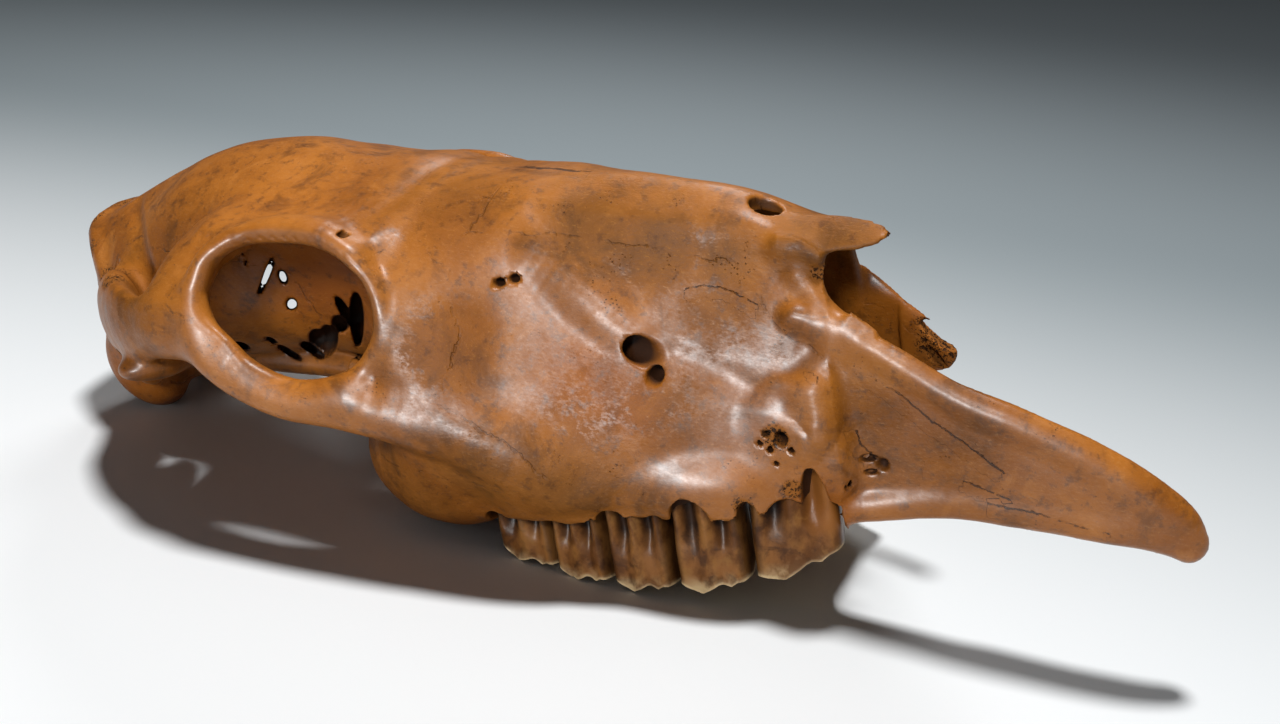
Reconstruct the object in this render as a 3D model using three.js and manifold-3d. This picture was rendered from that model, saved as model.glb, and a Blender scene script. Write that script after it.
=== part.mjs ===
// A horse cranium without its lower jaw: the separate bones, with thin gaps along their sutures.
// The outlines are given in the skull's own frame, in millimetres: x runs forward from the back of the
// condyles, y to the animal's left and z up from the chewing level of the cheek teeth.
import * as THREE from "three";
import { mergeVertices } from "three/addons/utils/BufferGeometryUtils.js";
import Module from "manifold-3d";

const wasm = await Module();
wasm.setup();

// ---- driving dimensions ----
const NOSE_UP_DEG = 11.45; // pitch at which the skull rests on its condyles and cheek teeth
const REST_PIVOT = [250, 0, 60]; // point about which that pitch turns the skull
const FLOOR_BELOW_PIVOT = 51.2; // height of the pivot over the floor
const SUTURE_GAP = 0.35; // width of the gap between two bones
const AROUND = 20; // facets round a body section
const AROUND_BAR = 6; // facets round a bar or rim
const TOOTH_WIDTH = 25; // cheek tooth, cheek side to tongue side
const TOOTH_GAP = 0.8; // between neighbouring crowns
const CROWN_TOP = 42; // crowns reach up into the jaw as far as this

const BONE = { color: 0xa9662f, roughness: 0.5, metalness: 0 };
const DARK_BONE = { color: 0x8f5428, roughness: 0.55, metalness: 0 };

// ---- cross-sections: x, height of the section's centre, then [half-width, height] from crown to base ----
const BRAINCASE = [
  [6, 120, [[0, 161], [16, 160], [26, 152], [32, 132], [34, 110], [30, 92], [20, 84], [0, 82]]],
  [22, 120, [[0, 168], [18, 166], [30, 157], [40, 136], [44, 108], [40, 88], [26, 77], [0, 74]]],
  [50, 122, [[0, 178], [13, 176], [32, 164], [50, 142], [57, 118], [53, 98], [36, 84], [0, 75]]],
  [90, 135, [[0, 190], [16, 188], [38, 177], [54, 154], [57, 132], [47, 108], [28, 91], [0, 81]]],
  [120, 138, [[0, 193], [20, 189], [40, 178], [51, 160], [51, 138], [43, 114], [27, 95], [0, 83]]],
  [140, 138, [[0, 192], [24, 187], [42, 176], [50, 160], [45, 138], [38, 114], [24, 95], [0, 83]]],
  [160, 138, [[0, 189], [22, 184], [42, 175], [54, 160], [43, 142], [34, 114], [22, 92], [0, 78]]],
  [190, 136, [[0, 183], [22, 179], [42, 172.5], [54, 160], [42, 140], [35, 112], [27, 90], [0, 70]]],
  [215, 130, [[0, 178], [22, 175.5], [42, 169.5], [60, 152], [58, 134], [54, 108], [44, 82], [0, 60]]],
  [235, 120, [[0, 173], [22, 171], [46, 164], [66, 148], [70, 130], [66, 104], [54, 80], [0, 56]]],
];
const FACE = [
  [203, 108, [[0, 166], [22, 164], [44, 157], [58, 148], [63, 134], [64, 112], [60, 92], [52, 74], [46, 44],
    [38, 34], [28, 40], [0, 44]]],
  [222, 105, [[0, 175], [22, 173], [46, 167], [62, 161], [75, 150], [82, 132], [85, 112], [80, 92], [64, 74],
    [54, 34], [40, 28], [30, 36], [0, 40]]],
  [236, 100, [[0, 173.5], [26, 170.5], [46, 164.5], [62, 156.5], [76, 144.5], [86, 126], [91, 106], [87, 88],
    [72, 70], [58, 30], [40, 27], [28, 37], [0, 40]]],
  [255, 95, [[0, 172.5], [25, 169.5], [44, 162], [60, 150], [76, 131], [86, 110], [89, 96], [87, 84], [74, 68],
    [62, 29], [40, 26], [28, 36], [0, 39]]],
  [280, 90, [[0, 171.5], [24, 168], [40, 159], [55, 140], [70, 112], [83, 84], [84, 71], [74, 60], [63, 29],
    [41, 26], [30, 37], [0, 39]]],
  [308, 85, [[0, 169], [21, 163], [32, 154], [44, 134], [58, 105], [73, 76], [81, 58], [75, 49], [62, 29],
    [43, 26], [32, 37], [0, 39]]],
  [340, 85, [[0, 164.5], [18, 157.5], [28, 148], [36, 132], [47, 105], [56, 78], [59, 54], [59, 42], [57, 33],
    [42, 26], [33, 36], [0, 38]]],
  [370, 80, [[0, 158], [14, 153.5], [22, 145], [30, 128], [38, 103], [45, 76], [50, 50], [50, 40], [50, 31],
    [37, 24], [30, 34], [0, 36]]],
  [395, 80, [[0, 147], [12, 145], [20, 138], [27, 124], [33, 104], [38, 78], [41, 52], [41, 36], [41, 26],
    [32, 22], [26, 31], [0, 33]]],
  [406, 78, [[0, 144], [11, 141], [18, 133], [25, 120], [30, 102], [34, 78], [36, 54], [36, 36], [35, 24],
    [28, 20], [22, 28], [0, 30]]],
];
const NASAL_CAVITY = [
  [262, 70, [[0, 92], [12, 88], [18, 76], [20, 60], [18, 46], [10, 41], [0, 41]]],
  [300, 85, [[0, 150], [10, 147], [16, 135], [22, 110], [27, 80], [28, 55], [20, 42], [0, 41]]],
  [340, 85, [[0, 157], [13, 153], [21, 142], [28, 120], [36, 90], [40, 62], [32, 42], [0, 40]]],
  [372, 85, [[0, 151], [12, 148], [19, 139], [26, 118], [33, 90], [37, 62], [30, 41], [0, 39]]],
  [400, 85, [[0, 141], [11, 138], [17, 130], [22, 114], [27, 92], [30, 64], [26, 40], [0, 38]]],
  [420, 85, [[0, 134], [11, 132], [17, 126], [22, 112], [27, 92], [30, 64], [26, 40], [0, 30]]],
];

// ---- bars: x, y, z, half-breadth, half-height, along the bar ----
const ARCH = [
  [50, 50, 124, 11, 20], [68, 72, 128, 11, 22], [92, 89, 130, 8, 19], [114, 97, 131, 6.5, 14],
  [135, 100, 132, 6, 14], [152, 101, 124, 6, 12], [168, 101, 111, 6, 9], [190, 98, 100, 6, 9],
  [222, 92, 91, 9, 12], [252, 88, 81, 7, 8], [285, 84, 67, 5, 5], [310, 81.5, 53, 4, 4.5],
];
const ORBIT_RIM = [
  [146, 97, 148, 5, 5], [156, 88, 165, 4, 4.5], [186, 75, 171, 3.5, 4.5], [212, 75, 165, 3.5, 4.5],
  [236, 84, 140, 4.5, 5], [234, 90, 120, 4.5, 5.5], [216, 96, 105, 5, 6], [190, 98, 98, 5.5, 6],
  [163, 101, 109, 5, 6.5], [148, 102, 126, 5, 6],
];
const LEFT_RIM_DROP = 7; // the left rim sits this much lower than the right
const ORBIT_SIZE = [43, 46, 34];
const POSTORBITAL_BAR = [
  [142, 36, 172, 22, 6], [138, 72, 163, 18, 5.5], [130, 94, 145, 17, 6], [128, 99, 132, 17, 8],
];
const BROW = [[140, 60, 169, 14, 4], [172, 60, 169, 17, 4], [205, 58, 165.5, 17, 4], [221, 60, 158, 13, 4]];
const NUCHAL_CREST = [[3, 0, 160, 4, 5], [7, 20, 157, 4, 5], [17, 33, 147, 4, 5], [28, 43, 128, 4, 5], [35, 49, 104, 5, 6]];
const CONDYLE_NECK = [[6, 0, 104, 6, 8], [10, 18, 118, 8, 8], [16, 34, 110, 8, 8]];
const PARACONDYLAR = [[34, 42, 104, 7, 8], [38, 43, 84, 4, 5]];
const SKULL_BASE = [[20, 0, 72, 16, 9], [60, 0, 78, 13, 9], [110, 0, 80, 11, 8], [160, 0, 78, 10, 8]];
const PTERYGOID_PLATE = [[150, 17, 76, 3, 10], [180, 22, 60, 3, 18], [205, 25, 52, 3.5, 20], [232, 27, 50, 5, 18]];
const PREMAXILLA_BLADE = [
  [392, -31, 76, 5, 48], [410, -29, 68, 5, 46], [426, -28.5, 64, 4.5, 41], [449, -28, 58, 4.5, 32],
  [478, -27, 50, 6, 26], [507, -24, 40, 7, 20], [525, -21, 31, 7, 15], [536, -18, 23, 6, 11], [541, -16, 17, 4, 7],
];
const PREMAXILLA_STUB = [[394, 31, 92, 5, 26], [414, 29, 84, 4.5, 20], [430, 27, 80, 4.5, 14], [442, 24, 80, 5, 10]];
const FORAMEN_MAGNUM = [[-12, 0, 93, 17, 16], [20, 0, 98, 15, 15], [36, 0, 104, 9, 10]];
const CHOANA = [[150, 0, 66, 8, 8], [190, 0, 62, 17, 14], [240, 0, 60, 20, 18], [275, 0, 66, 18, 16]];
const INFRAORBITAL_CANAL = [[366, 62, 90, 8, 7], [326, 43, 107, 5, 5]];

// ---- crowns: name, back x, front x, cheek face y at back and front ----
const CROWNS = [
  ["P2", 367, 406, 49, 38],
  ["P3", 335, 367, 57, 51],
  ["P4", 306.5, 335, 62, 59],
  ["M1", 280.5, 306.5, 63, 63],
  ["M2", 251.5, 280.5, 62, 63],
];
const LOWEST_CUSP = { x: 342, z: -6.5 };
const CHEWING_RISE = { behind: 0.0018, ahead: 0.0037 }; // how the row's chewing edge curves upward

// ---- solids from three.js geometries ----
function solid(geometry) {
  const bare = geometry.index ? geometry.toNonIndexed() : geometry;
  bare.deleteAttribute("normal");
  bare.deleteAttribute("uv");
  const welded = mergeVertices(bare, 1e-4);
  const corners = [];
  for (let i = 0; i < welded.index.count; i += 3) {
    const [a, b, c] = [0, 1, 2].map((k) => welded.index.getX(i + k));
    if (a !== b && b !== c && a !== c) {
      corners.push(a, b, c);
    }
  }
  return new wasm.Manifold(new wasm.Mesh({
    numProp: 3,
    vertProperties: Float32Array.from(welded.attributes.position.array),
    triVerts: Uint32Array.from(corners),
  }));
}

function geometryOf(manifold) {
  const mesh = manifold.getMesh();
  const geometry = new THREE.BufferGeometry();
  geometry.setAttribute("position", new THREE.BufferAttribute(mesh.vertProperties, 3));
  geometry.setIndex(new THREE.BufferAttribute(mesh.triVerts, 1));
  return geometry;
}

const mirrored = (rows) => rows.map(([x, y, z, ...rest]) => [x, -y, z, ...rest]);
const union = (list) => list.reduce((sum, next) => sum.add(next));

// Smooth value of a table's column at a fractional row.
function along(column, t) {
  const last = column.length - 1;
  const i = Math.min(Math.floor(t), last - 1);
  const u = t - i;
  const start = i > 0 ? (column[i + 1] - column[i - 1]) / 2 : column[1] - column[0];
  const end = i < last - 1 ? (column[i + 2] - column[i]) / 2 : column[last] - column[last - 1];
  const fall = 2 * u ** 3 - 3 * u ** 2 + 1;
  const rise = 1 - fall;
  return fall * column[i] + (u ** 3 - 2 * u ** 2 + u) * start + rise * column[i + 1] + (u ** 3 - u ** 2) * end;
}

// A cylinder whose rings are moved onto the cross-sections.
function skin(sections, perSpan = 1, around = AROUND) {
  const outlines = sections.map(([x, middle, points]) => {
    const right = points.map(([y, z]) => new THREE.Vector2(y, z));
    const left = points.slice(1, -1).reverse().map(([y, z]) => new THREE.Vector2(-y, z));
    const loop = new THREE.SplineCurve([left.at(-1), ...right, left[0]]).getPoints((points.length + 1) * 12);
    const rays = loop.map((p) => [Math.atan2(p.x, p.y - middle), Math.hypot(p.x, p.y - middle)]);
    return rays.filter(([angle]) => angle >= 0).sort((a, b) => a[0] - b[0]);
  });
  const reach = (outline, angle) => {
    const i = Math.max(1, outline.findIndex(([a]) => a >= angle));
    const [[a0, r0], [a1, r1]] = [outline[i - 1], outline[angle > outline.at(-1)[0] ? outline.length - 1 : i]];
    return a1 > a0 ? r0 + ((r1 - r0) * THREE.MathUtils.clamp((angle - a0) / (a1 - a0), 0, 1)) : r0;
  };
  const rows = (sections.length - 1) * perSpan;
  const geometry = new THREE.CylinderGeometry(1, 1, 1, around, rows);
  const place = geometry.attributes.position;
  const [xs, middles] = [sections.map((s) => s[0]), sections.map((s) => s[1])];
  for (let k = 0; k < place.count; k++) {
    const t = (place.getY(k) + 0.5) * (sections.length - 1);
    const size = Math.hypot(place.getX(k), place.getZ(k));
    const turn = Math.atan2(place.getX(k), place.getZ(k));
    const radius = size < 0.5 ? 0 : along(outlines.map((o) => reach(o, Math.abs(turn))), t);
    place.setXYZ(k, along(xs, t), radius * Math.sin(turn), along(middles, t) + radius * Math.cos(turn));
  }
  return upright(geometry);
}

// A cylinder with round ends, bent along a row of stations.
function bar(stations, { perSpan = 1, around = AROUND_BAR, closed = false, flat = [0, 0, 1] } = {}) {
  const path = new THREE.CatmullRomCurve3(stations.map(([x, y, z]) => new THREE.Vector3(x, y, z)), closed);
  const spans = closed ? stations.length : stations.length - 1;
  const rows = spans * perSpan;
  const cap = closed ? 0 : 1;
  const geometry = closed
    ? new THREE.TorusGeometry(1, 0.5, around, rows)
    : new THREE.CylinderGeometry(1, 1, 1, around, rows + 2 * cap);
  const place = geometry.attributes.position;
  const column = (n) => (closed ? [...stations, stations[0]] : stations).map((s) => s[n]);
  const [breadths, heights] = [column(3), column(4)];
  const up = new THREE.Vector3(...flat);
  for (let k = 0; k < place.count; k++) {
    let [t, turn, size, push] = [0, 0, 1, 0];
    if (closed) {
      t = ((k % (rows + 1)) % rows) / rows;
      turn = (Math.floor(k / (rows + 1)) % around) * ((2 * Math.PI) / around);
    } else {
      const row = Math.round((place.getY(k) + 0.5) * (rows + 2 * cap));
      const inside = THREE.MathUtils.clamp(row - cap, 0, rows);
      const beyond = Math.min(Math.abs(row - cap - inside), cap) / cap;
      t = inside / rows;
      turn = Math.atan2(place.getX(k), place.getZ(k));
      size = Math.hypot(place.getX(k), place.getZ(k)) < 0.5 ? 0 : Math.sqrt(1 - (beyond * 0.8) ** 2);
      push = Math.sign(row - cap - inside) * beyond * 0.9;
    }
    const centre = path.getPoint(t);
    const ahead = path.getTangent(t);
    const rise = up.clone().addScaledVector(ahead, -up.dot(ahead)).normalize();
    const side = new THREE.Vector3().crossVectors(ahead, rise);
    const [breadth, height] = [along(breadths, t * spans), along(heights, t * spans)];
    centre.addScaledVector(ahead, push * Math.min(breadth, height));
    centre.addScaledVector(side, size * breadth * Math.sin(turn));
    centre.addScaledVector(rise, size * height * Math.cos(turn));
    place.setXYZ(k, centre.x, centre.y, centre.z);
  }
  return upright(geometry);
}

// Turns a geometry's triangles round when its volume comes out negative.
function upright(geometry) {
  let made = solid(geometry);
  if (made.volume() < 0) {
    const index = geometry.index;
    for (let i = 0; i < index.count; i += 3) {
      const first = index.getX(i);
      index.setX(i, index.getX(i + 1));
      index.setX(i + 1, first);
    }
    made = solid(geometry);
  }
  return made;
}

function egg(centre, radii, turn = [0, 0, 0], around = 8) {
  const geometry = new THREE.SphereGeometry(1, around, Math.round(around * 0.6));
  const tilt = new THREE.Matrix4().makeRotationFromEuler(new THREE.Euler(...turn.map(THREE.MathUtils.degToRad), "ZYX"));
  geometry.scale(...radii);
  geometry.applyMatrix4(tilt);
  geometry.translate(...centre);
  return solid(geometry);
}

// The same feature on both sides of the skull.
const onBothSides = (make) => union([make(1), make(-1)]);
const barBothSides = (rows, options) => onBothSides((s) => bar(s > 0 ? rows : mirrored(rows), options));
const eggBothSides = (centre, radii, [rx, ry, rz] = [0, 0, 0]) =>
  onBothSides((s) => egg([centre[0], s * centre[1], centre[2]], radii, [s * rx, ry, s * rz]));

// ---- the whole skull ----
const chewing = (x) =>
  LOWEST_CUSP.z + (x < LOWEST_CUSP.x ? CHEWING_RISE.behind : CHEWING_RISE.ahead) * (x - LOWEST_CUSP.x) ** 2;

function crown([, back, front, cheekBack, cheekFront], side) {
  const [length, middle] = [front - back - TOOTH_GAP, (back + front) / 2];
  const geometry = new THREE.BoxGeometry(length, TOOTH_WIDTH, 1, 4, 1, 1);
  const place = geometry.attributes.position;
  for (let k = 0; k < place.count; k++) {
    const fold = Math.cos((place.getX(k) / length) * 4 * Math.PI);
    const outward = side * place.getY(k) > 0 ? side * 0.8 * fold : 0;
    place.setY(k, place.getY(k) + outward);
    place.setZ(k, place.getZ(k) < 0 ? chewing(middle + place.getX(k)) - 0.9 * fold : CROWN_TOP);
  }
  geometry.rotateZ(side * Math.atan2(cheekFront - cheekBack, front - back));
  geometry.translate(middle, side * ((cheekBack + cheekFront - TOOTH_WIDTH) / 2), 0);
  return solid(geometry);
}

function wholeSkull() {
  let skull = skin(BRAINCASE).add(skin(FACE));
  skull = skull.subtract(egg([191, -84, 138], ORBIT_SIZE, [0, 0, 14]));
  skull = skull.subtract(egg([191, 84, 138 - LEFT_RIM_DROP], ORBIT_SIZE, [0, 0, -14]));
  const added = [
    bar(mirrored(ORBIT_RIM), { closed: true, flat: [0, 1, 0] }),
    bar(ORBIT_RIM, { closed: true, flat: [0, 1, 0] }).translate([0, 0, -LEFT_RIM_DROP]),
    barBothSides(POSTORBITAL_BAR, { flat: [0, 1, 1] }),
    bar(mirrored(BROW)),
    bar(BROW).translate([0, 0, -LEFT_RIM_DROP]),
    barBothSides(ARCH),
    eggBothSides([92, 80, 108], [14, 22, 8], [8, 0, 0]),
    eggBothSides([72, 70, 104], [7, 9, 13]),
    eggBothSides([232, 52, 52], [33, 22, 32], [0, 20, 0]),
    barBothSides(NUCHAL_CREST),
    barBothSides(CONDYLE_NECK),
    eggBothSides([15, 24, 82], [22, 17, 28], [-14, 0, 0]),
    barBothSides(PARACONDYLAR, { flat: [1, 0, 0] }),
    bar(SKULL_BASE),
    barBothSides(PTERYGOID_PLATE),
    bar(PREMAXILLA_BLADE),
    bar(PREMAXILLA_STUB),
    eggBothSides([398, 11, 138.5], [29, 14, 3.2], [-33, 5, 0]),
  ];
  skull = skull.add(union(added));
  const nasalHole = egg([380, -9, 151], [7.5, 6, 9], [20, 0, 0]);
  const hollows = [skin(NASAL_CAVITY, 1, AROUND / 2), nasalHole, bar(FORAMEN_MAGNUM), bar(CHOANA)];
  skull = skull.subtract(union([...hollows, barBothSides(INFRAORBITAL_CANAL)]));
  const crowns = [1, -1].flatMap((side) => CROWNS.map((row) => crown(row, side)));
  return skull.add(union(crowns));
}

// ---- dividing it along the sutures ----
// A prism across the skull whose outline is given in side view; grown moves its faces outward.
function prism(outline, [yFrom, yTo], grown = 0) {
  const points = outline.map(([x, z]) => new THREE.Vector2(x, z));
  const turned = THREE.ShapeUtils.area(points) < 0 ? points.reverse() : points;
  const moved = turned.map((p, i) => {
    const [before, after] = [turned.at(i - 1), turned[(i + 1) % turned.length]];
    const [a, b] = [p.clone().sub(before).normalize(), after.clone().sub(p).normalize()];
    const out = new THREE.Vector2(a.y + b.y, -a.x - b.x);
    return p.clone().addScaledVector(out, (2 * grown) / out.lengthSq());
  });
  const geometry = new THREE.ExtrudeGeometry(new THREE.Shape(moved), {
    depth: yTo - yFrom + 2 * grown,
    bevelEnabled: false,
  });
  geometry.rotateX(Math.PI / 2);
  geometry.translate(0, yTo + grown, 0);
  return solid(geometry);
}

const FAR = 150; // beyond the skull's half-width
const sides = { right: [-FAR, 0], left: [0, FAR] };
const lateral = (from) => ({ right: [-FAR, -from], left: [from, FAR] });

const REGIONS = [
  ["occipital", DARK_BONE, [[-20, 40], [34, 40], [34, 90], [30, 120], [34, 150], [22, 172], [-20, 190]], [-FAR, FAR]],
  ["sphenoid", DARK_BONE, [[34, 40], [150, 20], [214, 20], [222, 92], [150, 98], [34, 90]], [-31, 31]],
  ["palatine", BONE, [[214, 20], [268, 10], [272, 60], [262, 92], [222, 92]], [-28, 28]],
];
const PAIRED_REGIONS = [
  ["temporal", DARK_BONE, [[34, 40], [120, 40], [158, 100], [151, 140], [118, 150], [60, 158], [34, 150], [30, 120],
    [34, 90]], lateral(33)],
  ["zygomatic", BONE, [[151, 140], [158, 100], [150, 60], [250, 60], [285, 48], [300, 56], [286, 76], [262, 92],
    [238, 108], [214, 112], [176, 116], [164, 140]], lateral(64)],
  ["lacrimal", BONE, [[214, 112], [238, 108], [256, 98], [264, 120], [258, 146], [238, 160], [214, 152]], lateral(40)],
];
const PARIETAL = [[22, 172], [34, 150], [30, 120], [34, 90], [150, 98], [130, 150], [124, 205], [10, 205]];
const FRONTAL = [[116, 205], [116, 152], [130, 146], [150, 98], [222, 92], [232, 150], [262, 158], [268, 190]];
const NASAL = [[268, 190], [262, 158], [300, 152], [340, 142], [372, 134], [398, 129], [440, 122], [440, 190]];
const PREMAXILLA = [[440, 123], [398, 130], [372, 134], [392, 108], [410, 98], [437, 81], [447, 60], [430, 10],
  [570, -20], [570, 123]];

function divide(whole) {
  const bones = [];
  let rest = whole;
  const take = (name, look, outline, span) => {
    bones.push([name, look, rest.intersect(prism(outline, span))]);
    rest = rest.subtract(prism(outline, span, SUTURE_GAP));
  };
  for (const [name, look, outline, span] of REGIONS) {
    take(name, look, outline, span);
  }
  for (const [name, look, outline, spans] of PAIRED_REGIONS) {
    for (const side of ["right", "left"]) {
      take(`${name}_${side}`, look, outline, spans[side]);
    }
  }
  take("parietal", DARK_BONE, PARIETAL, [-58, 58]);
  for (const [name, outline] of [["frontal", FRONTAL], ["nasal", NASAL], ["premaxilla", PREMAXILLA]]) {
    for (const side of ["right", "left"]) {
      take(`${name}_${side}`, BONE, outline, sides[side]);
    }
  }
  const jaw = [[100, -30], [460, -30], [460, 190], [100, 190]];
  for (const side of ["right", "left"]) {
    take(`maxilla_${side}`, BONE, jaw, sides[side]);
  }
  return bones;
}

// ---- resting pose ----
const pitch = THREE.MathUtils.degToRad(NOSE_UP_DEG);

// Everything under the floor, in the skull's own frame.
function underFloor() {
  const depth = 100;
  const geometry = new THREE.BoxGeometry(900, 400, depth);
  geometry.translate(0, 0, -FLOOR_BELOW_PIVOT - depth / 2);
  geometry.rotateY(pitch);
  geometry.translate(...REST_PIVOT);
  return solid(geometry);
}

const skull = new THREE.Group();
for (const [name, look, bone] of divide(wholeSkull().subtract(underFloor()))) {
  const body = bone.decompose().sort((a, b) => b.volume() - a.volume())[0];
  const mesh = new THREE.Mesh(geometryOf(body), new THREE.MeshStandardMaterial(look));
  mesh.name = name;
  skull.add(mesh);
}
skull.rotation.y = -pitch;
skull.updateMatrixWorld(true);
const box = new THREE.Box3().setFromObject(skull, true);
const centre = box.getCenter(new THREE.Vector3());

const model = new THREE.Group();
skull.position.set(-centre.x, -centre.y, -box.min.z);
model.add(skull);

export default model;
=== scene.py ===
"""A still, life-size horse cranium: its bones, its cheek teeth and a pale studio floor."""
import math

import bpy
import numpy as np
from mathutils import Matrix, Vector


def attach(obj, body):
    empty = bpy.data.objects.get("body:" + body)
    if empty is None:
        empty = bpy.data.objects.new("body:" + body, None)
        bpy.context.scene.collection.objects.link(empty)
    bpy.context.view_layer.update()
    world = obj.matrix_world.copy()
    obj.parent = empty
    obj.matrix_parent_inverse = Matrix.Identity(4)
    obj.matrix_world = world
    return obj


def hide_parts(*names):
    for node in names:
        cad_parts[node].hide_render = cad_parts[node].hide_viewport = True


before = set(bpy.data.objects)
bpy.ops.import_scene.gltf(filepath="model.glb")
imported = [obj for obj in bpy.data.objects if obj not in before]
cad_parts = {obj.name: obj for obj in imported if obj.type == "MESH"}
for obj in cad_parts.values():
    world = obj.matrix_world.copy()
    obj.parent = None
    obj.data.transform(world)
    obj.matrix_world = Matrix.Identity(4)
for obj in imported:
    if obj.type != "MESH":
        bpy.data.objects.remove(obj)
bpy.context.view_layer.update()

bl_info = {
    "name": "Horse skull",
    "version": (1, 0, 0),
    "blender": (4, 5, 0),
    "location": "View3D > Sidebar > Skull",
    "description": "Builds a horse cranium from measured sections, with its cheek teeth and a studio floor",
    "category": "Add Mesh",
}

# ---- places, in millimetres, in the skull's own frame: x forward, y left, z up from the chewing level ----
PITCH = math.radians(11.45)
SKULL_ORIGIN = (-249.647, 0.0, -57.234)  # the skull frame's origin in the resting frame
FLOOR_GAP = 0.0002  # metres left between the floor and what rests on it

BRAINCASE = [
    (6, 120, [(0, 161), (16, 160), (26, 152), (32, 132), (34, 110), (30, 92), (20, 84), (0, 82)]),
    (22, 120, [(0, 168), (18, 166), (30, 157), (40, 136), (44, 108), (40, 88), (26, 77), (0, 74)]),
    (50, 122, [(0, 178), (13, 176), (32, 164), (50, 142), (57, 118), (53, 98), (36, 84), (0, 75)]),
    (90, 135, [(0, 190), (16, 188), (38, 177), (54, 154), (57, 132), (47, 108), (28, 91), (0, 81)]),
    (120, 138, [(0, 193), (20, 189), (40, 178), (51, 160), (51, 138), (43, 114), (27, 95), (0, 83)]),
    (140, 138, [(0, 192), (24, 187), (42, 176), (50, 160), (45, 138), (38, 114), (24, 95), (0, 83)]),
    (160, 138, [(0, 189), (22, 184), (42, 175), (54, 160), (43, 142), (34, 114), (22, 92), (0, 78)]),
    (190, 136, [(0, 183), (22, 179), (42, 172.5), (54, 160), (42, 140), (35, 112), (27, 90), (0, 70)]),
    (215, 130, [(0, 178), (22, 175.5), (42, 169.5), (60, 152), (58, 134), (54, 108), (44, 82), (0, 60)]),
    (235, 120, [(0, 167), (22, 165), (43, 157), (58, 145), (62, 128), (60, 104), (50, 80), (0, 56)]),
]
FACE = [
    (203, 108, [(0, 166), (22, 164), (44, 157), (58, 148), (63, 134), (64, 112), (60, 92), (52, 74),
                (46, 44), (38, 34), (28, 40), (0, 44)]),
    (222, 105, [(0, 175), (22, 173), (46, 167), (62, 161), (75, 150), (82, 132), (85, 112), (85, 94),
                (80, 72), (69, 46), (58, 32), (40, 28), (30, 36), (0, 40)]),
    (236, 100, [(0, 173.5), (26, 170.5), (46, 164.5), (62, 156.5), (76, 144.5), (86, 126), (91, 106),
                (90, 88), (84, 66), (73, 44), (61, 29), (40, 27), (28, 37), (0, 40)]),
    (255, 95, [(0, 172.5), (25, 169.5), (44, 162), (60, 150), (75, 131), (83, 110), (88.5, 90), (87, 74),
               (81, 56), (72, 41), (64, 29), (40, 26), (28, 36), (0, 39)]),
    (280, 90, [(0, 171.5), (24, 168), (39, 158), (50, 141), (65, 113), (76, 88), (84.5, 67), (82, 54),
               (74, 41), (64, 29), (41, 26), (30, 37), (0, 39)]),
    (308, 85, [(0, 169), (21, 163), (31, 154), (39, 136), (55, 107), (68, 78), (74, 54), (73, 44),
               (66, 36), (62, 29), (43, 26), (32, 37), (0, 39)]),
    (340, 85, [(0, 164.5), (18, 158), (27, 149), (32, 134), (46, 106), (57, 79), (60, 56), (59, 42),
               (57, 33), (42, 26), (33, 36), (0, 38)]),
    (370, 80, [(0, 158), (14, 153.5), (21, 145), (26, 130), (37, 103), (46, 77), (51, 52), (50, 40),
               (50, 31), (37, 24), (30, 34), (0, 36)]),
    (395, 80, [(0, 147), (12, 145), (20, 138), (27, 124), (33, 104), (38, 78), (41, 52), (41, 36),
               (41, 26), (32, 22), (26, 31), (0, 33)]),
    (406, 78, [(0, 144), (11, 141), (18, 133), (25, 120), (30, 102), (34, 78), (36, 54), (36, 36),
               (35, 24), (28, 20), (22, 28), (0, 30)]),
]
NASAL_CAVITY = [
    (262, 70, [(0, 92), (12, 88), (18, 76), (20, 60), (18, 46), (10, 41), (0, 41)]),
    (300, 85, [(0, 150), (10, 147), (16, 135), (22, 110), (27, 80), (28, 55), (20, 44), (0, 43)]),
    (340, 85, [(0, 154), (12, 149), (18, 138), (24, 118), (33, 90), (39, 62), (32, 45), (0, 43)]),
    (372, 85, [(0, 150), (11, 146), (16, 137), (22, 117), (30, 90), (36, 62), (30, 43), (0, 41)]),
    (400, 85, [(0, 141.5), (11, 138.5), (17, 131), (22, 115), (27, 92), (30, 64), (26, 40), (0, 38)]),
    (420, 85, [(0, 134), (11, 132), (17, 126), (22, 112), (27, 92), (30, 64), (26, 40), (0, 30)]),
]

# Bars: x, y, z, half-breadth, half-height.
ARCH = [
    (50, 50, 124, 11, 20), (68, 72, 128, 11, 22), (92, 89, 130, 8, 19), (114, 97, 131, 6.5, 14),
    (135, 100, 132, 6, 14), (152, 101, 124, 6, 12), (168, 101, 111, 6, 9), (190, 98, 100, 6, 9),
    (222, 91, 93, 9, 12), (248, 86, 81, 7, 8), (272, 80, 70, 4, 6), (292, 74, 58, 3, 5),
]
ORBIT_RIM = [
    (146, 96, 150, 5, 5), (153, 90, 163, 4, 4.5), (168, 81, 170, 3, 4.5), (186, 75, 171, 3, 4.5),
    (206, 74, 167.5, 3, 4.5), (222, 76, 157, 3, 4.5), (232, 79, 141, 3.5, 4), (230, 83, 121, 3.5, 4),
    (215, 91, 105, 5, 5), (190, 98, 98, 5.5, 6), (163, 101, 109, 5, 6.5), (148, 102, 126, 5, 6),
    (146, 96, 150, 5, 5),
]
LEFT_RIM_DROP = 9
POSTORBITAL_BAR = [
    (142, 36, 172, 22, 6), (141, 58, 167, 20, 6), (135, 80, 159, 16, 5.5), (128, 94, 145, 15, 6),
    (126, 99, 132, 15, 8),
]
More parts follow.
